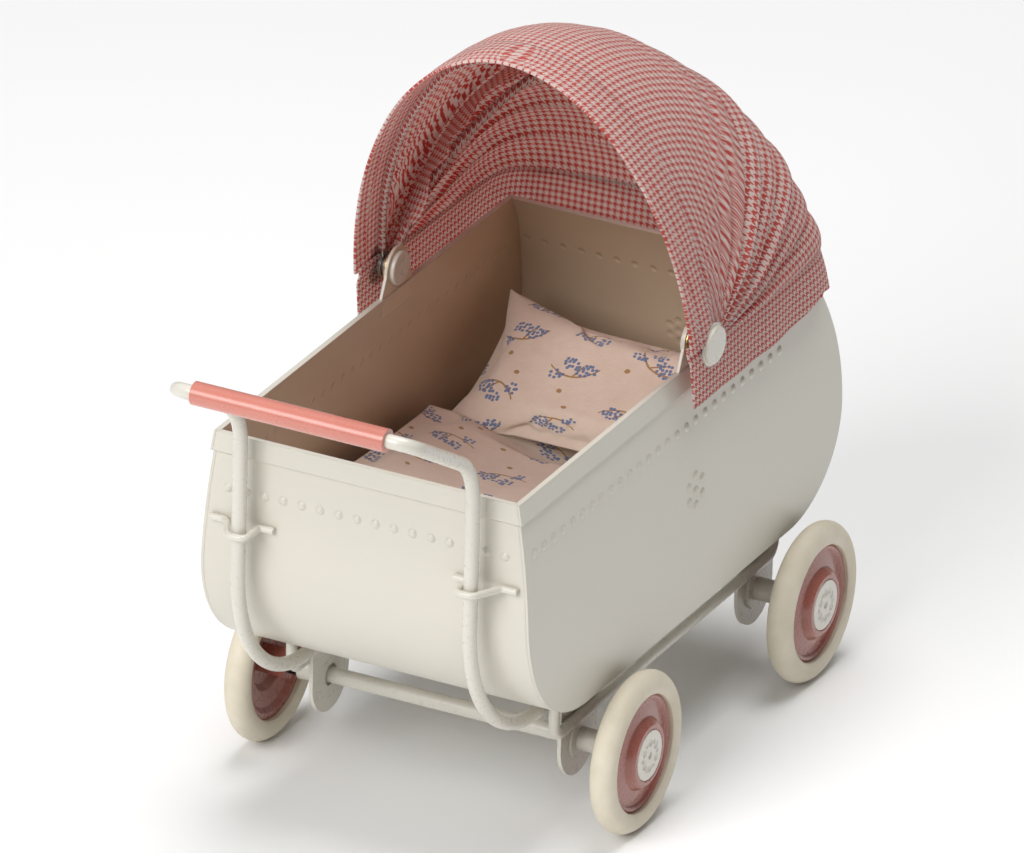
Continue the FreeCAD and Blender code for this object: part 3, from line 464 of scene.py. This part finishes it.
def grid_faces(rows, columns, flip=False):
    faces = []
    for i in range(rows - 1):
        for j in range(columns - 1):
            a = i * columns + j
            quad = (a, a + 1, a + columns + 1, a + columns)
            faces.append(quad[::-1] if flip else quad)
    return faces


def apply_modifiers(obj):
    bpy.context.view_layer.update()
    shaped = bpy.data.meshes.new_from_object(obj.evaluated_get(bpy.context.evaluated_depsgraph_get()))
    shaped.name = obj.name
    obj.modifiers.clear()
    obj.data = shaped
    return obj


def waves(u, v, seed, octaves=4):
    """Smooth seeded noise, about -1 to 1, of two coordinates."""
    made = np.random.default_rng(seed)
    total = np.zeros(np.broadcast(u, v).shape)
    for k in range(octaves):
        for _ in range(3):
            a, b, p = made.normal(0, 1.6 ** k, 2).tolist() + [made.uniform(0, 6.28)]
            total = total + np.sin(a * u + b * v + p) / (1.7 ** k * 3)
    return total


# ---------------------------------------------------------------- hood

PIVOT_Y, PIVOT_Z = 22.8, 86.4
FRONT_ANGLE, BAND_ANGLE, MIDDLE_ANGLE, REAR_ANGLE = -18.3, -9.0, 40.0, 100.0
HALF_MM = 35.6
FOOT_SHARE = 0.14


def crown_reach(angle):
    return 51.6 + 0.00182 * (angle - 50.0) ** 2


def arch_frame(angle):
    """Foot and crown of the arch at an angle, in the side view, and its roundness power."""
    share = np.clip((angle - FRONT_ANGLE) / (REAR_ANGLE - FRONT_ANGLE), 0, 1)
    foot_y = 15.8 + 53.2 * share ** 0.55
    foot_z = 75.7 + 2.2 * share ** 5
    reach, turn = crown_reach(angle), np.radians(angle)
    crown_y = PIVOT_Y + reach * np.sin(turn)
    crown_z = PIVOT_Z + reach * np.cos(turn)
    return foot_y, foot_z, crown_y, crown_z, 2.0 / (2.0 + 1.8 * share ** 3)


def half_width(height, power):
    rise = np.clip((height - FOOT_SHARE) / (1 - FOOT_SHARE), 0, 1)
    sine = rise ** (1.0 / power)
    return HALF_MM * np.sqrt(np.clip(1 - sine ** 2, 0, 1)) ** power


def width_at(y, z):
    """Half width of the hood over a point of its side view."""
    low = np.full(y.shape, FRONT_ANGLE - 3.0)
    high = np.full(y.shape, REAR_ANGLE)
    for _ in range(32):
        mid = (low + high) / 2
        fy, fz, cy, cz, _p = arch_frame(mid)
        ahead = (cz - fz) * (y - fy) - (cy - fy) * (z - fz)
        low = np.where(ahead > 0, mid, low)
        high = np.where(ahead > 0, high, mid)
    mid = (low + high) / 2
    fy, fz, cy, cz, power = arch_frame(mid)
    length = np.hypot(cy - fy, cz - fz)
    along = ((y - fy) * (cy - fy) + (z - fz) * (cz - fz)) / length ** 2
    return half_width(along, power)


def profile(angle, samples=46, dense=240, start=1.2):
    """Right half of the hood cut at one angle about the pivot, from the pivot up to the crown."""
    turn = math.radians(angle)
    reach = crown_reach(angle)
    s = np.sin(np.linspace(0, 1, dense) ** 0.9 * math.pi / 2)
    r = start + (reach - start) * s
    y, z = PIVOT_Y + r * math.sin(turn), PIVOT_Z + r * math.cos(turn)
    x = width_at(y, z)
    x[-1] = 0.0
    path = np.stack([x, y, z], 1)
    length = np.r_[0, np.cumsum(np.linalg.norm(np.diff(path, axis=0), axis=1))]
    at = np.linspace(0, length[-1], samples)
    out = np.stack([np.interp(at, length, path[:, k]) for k in range(3)], 1)
    return out, at, np.interp(at, length, r)


def outward(points):
    """Unit normals of a grid of points, pointing away from the hood's middle."""
    du = np.gradient(points, axis=0)
    dv = np.gradient(points, axis=1)
    n = np.cross(du, dv)
    n /= np.linalg.norm(n, axis=2, keepdims=True) + 1e-12
    middle = np.array([0, PIVOT_Y + 20.0, PIVOT_Z])
    facing = np.sum(n * (points - middle), axis=2, keepdims=True)
    return np.where(facing < 0, -n, n)


def fold_depth(reach_share, strength):
    """How deep the gathers are, from the pinned pivot to the crown."""
    rise = np.clip(reach_share / 0.35, 0, 1)
    rise = rise * rise * (3 - 2 * rise)
    fall = np.clip((1 - reach_share) / 0.6, 0, 1)
    return strength * rise * (0.42 + 0.58 * fall)


def gore(name, first, last, strength, lean, seed, columns=15, samples=46, grain=None):
    """One gathered gore of the hood, over both sides, between two angles about the pivot."""
    angles = np.linspace(first, last, columns)
    grain = (first + last) / 2 if grain is None else grain
    right, ups, reaches = [], [], []
    for angle in angles:
        path, up, reach = profile(angle, samples)
        right.append(path)
        ups.append(up)
        reaches.append(reach)
    right = np.array(right)
    left = right[:, -2::-1].copy()
    left[:, :, 0] *= -1
    points = np.concatenate([right, left], 1)
    ups, reaches = np.array(ups), np.array(reaches)
    turn = np.radians(angles - grain)[:, None]
    flat = reaches * np.cos(turn) + ups - reaches
    flat = flat - flat[:, -1:]
    rise = np.concatenate([flat, -flat[:, -2::-1]], 1)
    reach = np.concatenate([reaches, reaches[:, -2::-1]], 1)
    share = reach / crown_reach(angles)[:, None]
    f = ((angles - first) / (last - first))[:, None]
    lobe = np.sin(math.pi * f ** lean) ** 0.65
    side = np.concatenate([np.ones(samples), -np.ones(samples - 1)])[None, :]
    ripple = waves(f * 5 + side * 3, reach * 0.05 + seed, seed + 40)
    edge = np.sin(math.pi * f)
    wide = strength * (1 + 0.25 * waves(reach * 0.07, side * 2 + f * 0, seed))
    push = fold_depth(share, 1.0) * (wide * lobe + 0.22 * ripple * edge) - fold_depth(share, 0.45)
    points = points + outward(points) * push[:, :, None]
    across = reach * np.sin(turn) + (0.0 if grain < 0 else grain * 1.7)
    uv = np.stack([rise, across], 2)
    return cloth_object(name, points, uv), points


def thicken(obj, thickness_mm=0.3, rim=False):
    solid = obj.modifiers.new("thickness", "SOLIDIFY")
    solid.thickness = thickness_mm * MM
    solid.offset = -1.0
    solid.use_rim = rim
    return apply_modifiers(obj)


def blend_across(obj):
    """Bakes the gore's placement into its mesh points."""
    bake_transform(obj)


FRONT_GRAIN = -14.0
FRONT_GORES = 5
REAR_GORES = 5
front_edges = np.linspace(BAND_ANGLE, MIDDLE_ANGLE, FRONT_GORES + 1)
rear_edges = np.linspace(MIDDLE_ANGLE, 90.0, REAR_GORES + 1)
front_strength = [0.12, 0.15, 0.3, 0.8, 1.9]
rear_strength = [3.0, 2.4, 2.8, 2.2, 1.7]
for k in range(FRONT_GORES):
    a, b = front_edges[k], front_edges[k + 1]
    name = "hood_front_gore_%d" % (k + 1)
    obj, points = gore(name, a, b, front_strength[k], 1.15, 10 + k, grain=FRONT_GRAIN)
    thicken(obj)
    blend_across(obj)
    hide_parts("hood_panel_front")
for k in range(REAR_GORES):
    a, b = rear_edges[k], rear_edges[k + 1]
    obj, points = gore("hood_rear_gore_%d" % (k + 1), a, b, rear_strength[k], 1.3, 30 + k)
    thicken(obj)
    blend_across(obj)
    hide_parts("hood_panel_rear")


def band_patch(rows=14, samples=60):
    """Hemmed front band, from the free front edge back to the first gather, above the pivot."""
    path, up, reach = profile(BAND_ANGLE, samples)
    lean_in = math.cos(math.radians(BAND_ANGLE - FRONT_GRAIN))
    up = reach * lean_in + up - reach
    fy, fz, cy, cz, power = [float(v) for v in arch_frame(np.array(FRONT_ANGLE))]
    base = (PIVOT_Z - fz) / (cz - fz)
    share = reach / crown_reach(BAND_ANGLE)
    h = base + (1 - base) * share
    front = np.stack([half_width(h, power), fy + (cy - fy) * h, fz + (cz - fz) * h], 1)
    front[-1, 0] = 0.0
    out = []
    for k in range(rows):
        f = k / (rows - 1)
        y = front[:, 1] * (1 - f) + path[:, 1] * f
        z = front[:, 2] * (1 - f) + path[:, 2] * f
        x = width_at(y, z)
        x[-1] = 0.0
        if k == 0:
            x = front[:, 0]
        if k == rows - 1:
            x = path[:, 0]
        out.append(np.stack([x, y, z], 1))
    right = np.array(out)
    left = right[:, -2::-1].copy()
    left[:, :, 0] *= -1
    points = np.concatenate([right, left], 1)
    rise = np.concatenate([up - up[-1], (up[-1] - up)[-2::-1]])
    lateral = np.linalg.norm(points - points[:1], axis=2)
    cg, sg = math.cos(math.radians(FRONT_GRAIN)), math.sin(math.radians(FRONT_GRAIN))
    across = (points[:, :, 1] - PIVOT_Y) * cg - (points[:, :, 2] - PIVOT_Z) * sg
    uv = np.stack([np.broadcast_to(rise, lateral.shape), across], 2)
    full_share = np.concatenate([share, share[-2::-1]])[None, :]
    f = np.linspace(0, 1, rows)[:, None]
    ease = 0.28 * np.sin(math.pi * np.clip(full_share, 0, 1) * 0.9)
    ripple = waves(rise[None, :] * 0.09, f * 1.5, 5) * ease
    pull = -fold_depth(full_share, 0.45) * f
    hem = -0.35 * np.exp(-((lateral - 3.4) / 0.35) ** 2)
    points = points + outward(points) * (ripple * (0.4 + f) * 0.7 + pull + hem)[:, :, None]
    return points, uv


band_points, band_uv = band_patch()
band = cloth_object("hood_band", band_points, band_uv)
thicken(band, 0.5, True)
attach(band, "hood_front")
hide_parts("hood_front_band")


def skirt_side(side, columns=170, rows=16):
    """Loose lower edge of the hood on one side, from the front tip round to the middle of the back."""
    angles = np.linspace(FRONT_ANGLE, REAR_ANGLE, 6000)
    fy, fz, cy, cz, power = arch_frame(angles)
    ridge = PIVOT_Z + 0.9 + 1.6 * np.clip((10.0 - angles) / 25.0, 0, 1)
    top = np.where(cz <= ridge, 1.0, np.clip((ridge - fz) / np.maximum(cz - fz, 1e-6), 0, 1))
    out = np.where(top > 0.9999, 0.0, half_width(top, power))
    edge = np.stack([out, fy + (cy - fy) * top, fz + (cz - fz) * top], 1)
    along = np.r_[0, np.cumsum(np.linalg.norm(np.diff(edge, axis=0), axis=1))]
    angles = np.interp(np.linspace(0, along[-1], columns), along, angles)
    fy, fz, cy, cz, power = arch_frame(angles)
    ridge = PIVOT_Z + 0.9 + 1.6 * np.clip((10.0 - angles) / 25.0, 0, 1)
    top = np.where(cz <= ridge, 1.0, np.clip((ridge - fz) / np.maximum(cz - fz, 1e-6), 0, 1))
    eta = np.linspace(0, 1, rows)[:, None]
    h = eta * top[None, :]
    x = half_width(h, power[None, :])
    x = np.where((h > 0.9999), 0.0, x)
    y = fy + (cy - fy) * h
    z = fz + (cz - fz) * h
    points = np.stack([x, y, z], 2)
    down = 1 - eta
    wave = waves(y * 0.16, down * 0.8, 61 + (side > 0), 3)
    flare = np.clip((y - 30) / 25, 0, 1) * np.clip(x / 30.0, 0, 1)
    n = outward(points)
    pleat = np.sin(y * 0.42 + 0.9 * np.sin(y * 0.17)) * (0.1 + 0.5 * flare)
    lift = down * (0.25 * wave + 0.45 * pleat * np.clip(down * 1.5, 0, 1)) + 0.25 * down
    points = points + n * np.maximum(lift, -0.1)[:, :, None] * np.clip(x / 4.0, 0, 1)[:, :, None]
    tuck = -0.55 * np.clip((z - PIVOT_Z + 1.0) / 1.9, 0, 1)
    points = points + n * tuck[:, :, None]
    uv = np.stack([z - PIVOT_Z - PIVOT_RISE, y - PIVOT_Y + HALF_MM - x], 2)
    points[:, :, 0] *= side
    return points, uv


PIVOT_RISE = float(profile(0.0)[1][-1])
for side_name, side in (("left", -1), ("right", 1)):
    points, uv = skirt_side(side)
    skirt = cloth_object("hood_skirt_" + side_name, points, uv, flip=side < 0)
    thicken(skirt, 0.3, True)
    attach(skirt, "pram")


BOW_WIRE_RADIUS_MM = 0.6


def sleeve(name, node_name, angle, length, radius_mm, rides):
    """Cloth casing drawn over one wire bow, wrinkled along its length."""
    bow = nodes[node_name]
    widest = max(abs((bow.matrix_world @ v.co).x) for v in bow.data.vertices)
    half = widest / MM - BOW_WIRE_RADIUS_MM
    crown_r = 1.1 * half ** 2 / length
    rise = length - crown_r
    shift = (rise ** 2 - (half - crown_r) ** 2) / (2 * (half - crown_r))
    reach = math.atan2(rise, shift)
    low = np.linspace(0.07, 1, 60) * reach
    side = np.stack([(half + shift) * np.cos(low) - shift, (half + shift) * np.sin(low)], 1)
    over = np.linspace(reach, math.pi / 2, 30)[1:]
    crown = np.stack([crown_r * np.cos(over), rise + crown_r * np.sin(over)], 1)
    right = np.concatenate([side, crown])
    flat = np.concatenate([right, right[-2::-1] * [-1, 1]])
    tangent = np.gradient(flat, axis=0)
    tangent /= np.linalg.norm(tangent, axis=1, keepdims=True)
    run = np.r_[0, np.cumsum(np.linalg.norm(np.diff(flat, axis=0), axis=1))]
    tilt = math.radians(angle)
    up_dir = np.array([0, math.sin(tilt), math.cos(tilt)])
    ahead = np.array([0, math.cos(tilt), -math.sin(tilt)])
    centre = np.array([0, PIVOT_Y, PIVOT_Z]) + flat[:, :1] * [1, 0, 0] + flat[:, 1:] * up_dir
    across = tangent[:, 1:] * [1, 0, 0] - tangent[:, :1] * up_dir
    turns = np.linspace(0, 2 * math.pi, 15)
    swell = radius_mm * (1 + 0.10 * waves(run[:, None] * 0.5, np.cos(turns)[None, :] * 1.2, 71))
    ring = across[:, None, :] * np.cos(turns)[None, :, None] + ahead * np.sin(turns)[None, :, None]
    points = centre[:, None, :] + ring * swell[:, :, None]
    uv = np.stack(np.broadcast_arrays(run[:, None] - run[-1] / 2, (turns * radius_mm)[None, :]), 2)
    obj = cloth_object(name, points, uv)
    thicken(obj, 0.12, True)
    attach(obj, rides)


sleeve("hood_casing_middle", "hood_bow_middle", 40.0, 49.6, 0.8, "hood_middle")
sleeve("hood_casing_front", "hood_bow_front", -14.0, 57.3, 0.75, "hood_front")


def seam_allowance(name, outer_angle, inner_angle, drop_mm, rides, seed):
    """Raw-edged allowance left inside the hood along a sewn casing."""
    rows = []
    for f in np.linspace(0, 1, 7):
        path, up, _ = profile(outer_angle + (inner_angle - outer_angle) * f, 90, start=9.0)
        ragged = 0.45 * waves(up * 0.9, up * 0 + 1, seed) * f
        ruffle = 0.75 * np.sin(up * 0.55 + 1.3 * np.sin(up * 0.19 + seed)) * f
        rows.append((path, up, 1.1 + (drop_mm + ragged + ruffle) * f))
    right = np.array([row[0] for row in rows])
    inset = np.array([row[2] for row in rows])
    left = right[:, -2::-1].copy()
    left[:, :, 0] *= -1
    points = np.concatenate([right, left], 1)
    inset = np.concatenate([inset, inset[:, -2::-1]], 1)
    up = rows[0][1]
    run = np.concatenate([up - up[-1], (up[-1] - up)[-2::-1]])
    points = points - outward(points) * inset[:, :, None]
    uv = np.stack(np.broadcast_arrays(run[None, :], np.linspace(0, 8, 7)[:, None]), 2)
    obj = cloth_object(name, points, uv)
    thicken(obj, 0.25, True)
    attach(obj, rides)


seam_allowance("hood_allowance_middle", 38.5, 31.0, 3.6, "hood_middle", 3)

# ---------------------------------------------------------------- bedding


def pad_mesh(name, width, length, thick, nx, ny, scale=10.0):
    """Closed flat pad of two sheets sewn round the edge, drawn ten times size for the cloth solver."""
    u = np.linspace(-1, 1, nx)
    v = np.linspace(-1, 1, ny)
    uu, vv = np.meshgrid(u, v, indexing="ij")
    puff = ((1 - uu ** 2) * (1 - vv ** 2)) ** 0.35
    top = np.stack([uu * width / 2, vv * length / 2, puff * thick / 2 + 0.02], 2)
    low = top.copy()
    low[:, :, 2] *= -1
    points = np.concatenate([top.reshape(-1, 3), low.reshape(-1, 3)]) * scale * MM
    faces = grid_faces(nx, ny, flip=True)
    count = nx * ny
    faces += [tuple(i + count for i in f[::-1]) for f in faces]
    rim = [i * ny for i in range(nx)] + [(nx - 1) * ny + j for j in range(1, ny)]
    rim += [i * ny + ny - 1 for i in range(nx - 2, -1, -1)] + [j for j in range(ny - 2, 0, -1)]
    for a, b in zip(rim, rim[1:] + rim[:1]):
        faces.append((a, a + count, b + count, b))
    mesh = bpy.data.meshes.new(name)
    mesh.from_pydata([tuple(p) for p in points], [], faces)
    layer = mesh.uv_layers.new(name="weave")
    loops = np.zeros(len(mesh.loops), int)
    mesh.loops.foreach_get("vertex_index", loops)
    flat = np.concatenate([np.stack([uu * width / 2, vv * length / 2], 2).reshape(-1, 2)] * 2)
    flat[count:] += 31.0
    layer.data.foreach_set("uv", flat.astype(np.float32)[loops].ravel())
    mesh.materials.append(sprig)
    obj = bpy.data.objects.new(name, mesh)
    scene.collection.objects.link(obj)
    bm = bmesh.new()
    bm.from_mesh(mesh)
    bmesh.ops.recalc_face_normals(bm, faces=bm.faces)
    bm.to_mesh(mesh)
    bm.free()
    return obj


def inflate(obj, pressure, shrink, frames=20, cap_mm=6.0, scale=10.0):
    """Puffs the pad with Blender's cloth solver and keeps the result."""
    before = np.array([v.co for v in obj.data.vertices])
    cloth = obj.modifiers.new("cloth", "CLOTH")
    s = cloth.settings
    s.effector_weights.gravity = 0
    s.use_pressure = True
    s.uniform_pressure_force = pressure
    s.shrink_min = shrink
    s.tension_stiffness = 18
    s.compression_stiffness = 18
    s.shear_stiffness = 6
    s.bending_stiffness = 0.25
    s.mass = 0.25
    s.quality = 7
    scene.frame_start, scene.frame_end = 1, frames
    for number in range(1, frames + 1):
        scene.frame_set(number)
    shaped = obj.evaluated_get(bpy.context.evaluated_depsgraph_get()).to_mesh()
    after = np.array([v.co for v in shaped.vertices])
    obj.evaluated_get(bpy.context.evaluated_depsgraph_get()).to_mesh_clear()
    obj.modifiers.clear()
    scene.frame_set(1)
    step = after - before
    far = np.linalg.norm(step, axis=1, keepdims=True)
    limit = cap_mm * scale * MM
    after = before + step * np.minimum(1.0, limit / np.maximum(far, 1e-9))
    obj.data.vertices.foreach_set("co", (after / scale).astype(np.float32).ravel())
    obj.data.update()
    subdivide = obj.modifiers.new("finer", "SUBSURF")
    subdivide.levels = subdivide.render_levels = 1
    apply_modifiers(obj)
    obj.data.polygons.foreach_set("use_smooth", [True] * len(obj.data.polygons))
    return obj


def coords(obj):
    co = np.zeros(len(obj.data.vertices) * 3)
    obj.data.vertices.foreach_get("co", co)
    return co.reshape(-1, 3) / MM


def set_coords(obj, co):
    obj.data.vertices.foreach_set("co", (np.asarray(co) * MM).astype(np.float32).ravel())
    obj.data.update()


PILLOW_SIZE = (61.0, 37.0, 7.0)
pillow = pad_mesh("pillow_linen", *PILLOW_SIZE, 76, 48)
inflate(pillow, 4.0, 0.06)
co = coords(pillow)
lo, hi = co.min(0), co.max(0)
u = 2 * (co[:, 0] - lo[0]) / (hi[0] - lo[0]) - 1
v = 2 * (co[:, 1] - lo[1]) / (hi[1] - lo[1]) - 1
co[:, 0] *= 58.8 / (hi[0] - lo[0])
co[:, 1] *= 36.0 / (hi[1] - lo[1])
co[:, 2] *= 9.6 / (hi[2] - lo[2])
co[:, 2] -= 0.6 * np.cos(u * 1.2) * (1 - v ** 2)
co[:, 2] += 2.0 * np.clip(-u * v, 0, 1) ** 2 * (u < 0)
co[:, 2] += 0.35 * waves(u * 3.2, v * 2.6, 91) * (1 - np.maximum(abs(u), abs(v)) ** 4)
tilt = math.radians(26.2)
y, z = co[:, 1] + 17.75, co[:, 2]
co[:, 1] = 35.8 + y * math.cos(tilt) - z * math.sin(tilt)
co[:, 2] = 46.9 + y * math.sin(tilt) + z * math.cos(tilt)
set_coords(pillow, co)
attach(pillow, "pillow")
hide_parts("pillow")

duvet = pad_mesh("duvet_linen", 67.0, 112.0, 6.0, 70, 110)
inflate(duvet, 2.5, 0.04)
co = coords(duvet)
lo, hi = co.min(0), co.max(0)
u = 2 * (co[:, 0] - lo[0]) / (hi[0] - lo[0]) - 1
v = 2 * (co[:, 1] - lo[1]) / (hi[1] - lo[1]) - 1
thick = co[:, 2] * 5.5 / (hi[2] - lo[2])
y = -46.0 + (v + 1) / 2 * 108.0
x = u * 33.2
sink = np.clip((y - 31.0) / 6.0, 0, 1)
left = np.clip((-u - 0.1) / 0.9, 0, 1)
height = 46.3 - 5.5 * sink * sink * (3 - 2 * sink) * (1 - left) ** 2
prow = np.clip((y - 40.0) / 25.0, 0, 1)
x = x * (1 - 0.05 * prow)
height = height + 0.9 * waves(u * 2.4, v * 4.2, 77, 3) * (1 - sink)
fade = np.clip((41.0 - y) / 6.0, 0, 1)
climb = np.interp(y, [-46.0, -6.0, 2.0, 15.5, 27.5, 38.2], [10.0, 9.6, 9.2, 8.4, 7.6, 7.0])
corner = left ** 1.5 * fade * fade * (3 - 2 * fade)
height = height + climb * corner
rear = np.clip((-38.0 - y) / 8.0, 0, 1)
height = height + 1.2 * rear
set_coords(duvet, np.stack([x, y, height + thick], 1))
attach(duvet, "pram")
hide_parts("duvet")

# ---------------------------------------------------------------- floor, light, camera


def stage_plane():
    g = Graph("studio_floor")
    grain = g.noise(g.coordinate(), 12.0, 3.0)
    g.set(Base_Color=g.mix(grain, (0.95, 0.95, 0.95), (0.93, 0.93, 0.93)), Roughness=0.7)
    size = 3.0 / MM
    corners = [(-size, -size, 0), (size, -size, 0), (size, size, 0), (-size, size, 0)]
    plane = mesh_object("studio_floor", corners, [(0, 1, 2, 3)], g.material)


def area_light(name, place, target, size, power, colour=(1, 1, 1)):
    data = bpy.data.lights.new(name, "AREA")
    data.shape = "DISK"
    data.size = size
    data.energy = power
    data.color = colour
    light = bpy.data.objects.new(name, data)
    scene.collection.objects.link(light)
    light.location = place
    light.rotation_euler = (Vector(target) - Vector(place)).to_track_quat("-Z", "Y").to_euler()


stage_plane()
aim = (0.0, 0.0, 0.06)
area_light("key", (-0.20, -0.98, 0.72), aim, 0.8, 10.2)
area_light("top", (0.05, 0.15, 1.3), aim, 0.9, 12.0)
world = bpy.data.worlds.new("studio")
scene.world = world
world.use_nodes = True
sky = world.node_tree.nodes["Background"]
sky.inputs[0].default_value = (1.0, 1.0, 1.0, 1.0)
sky.inputs[1].default_value = 0.2

TARGET = Vector((11.022, -11.3, 77.368)) * MM
AZIMUTH, ELEVATION, ROLL = math.radians(26.748), math.radians(25.784), math.radians(1.54)
DISTANCE = 3759.302 * MM
level = math.cos(ELEVATION)
back = Vector((math.sin(AZIMUTH) * level, -math.cos(AZIMUTH) * level, math.sin(ELEVATION)))
right = Vector((0, 0, 1)).cross(back).normalized()
up = back.cross(right)
cam_x = math.cos(ROLL) * right + math.sin(ROLL) * up
cam_y = -math.sin(ROLL) * right + math.cos(ROLL) * up
camera = bpy.data.objects.new("camera", bpy.data.cameras.new("camera"))
scene.collection.objects.link(camera)
camera.data.sensor_width = 36.0
camera.data.lens = 703.125
camera.data.clip_start = 0.5
camera.data.clip_end = 20.0
turn = Matrix((cam_x, cam_y, back)).transposed().to_4x4()
camera.matrix_world = Matrix.Translation(TARGET + back * DISTANCE) @ turn
scene.camera = camera
scene.view_settings.view_transform = "Standard"
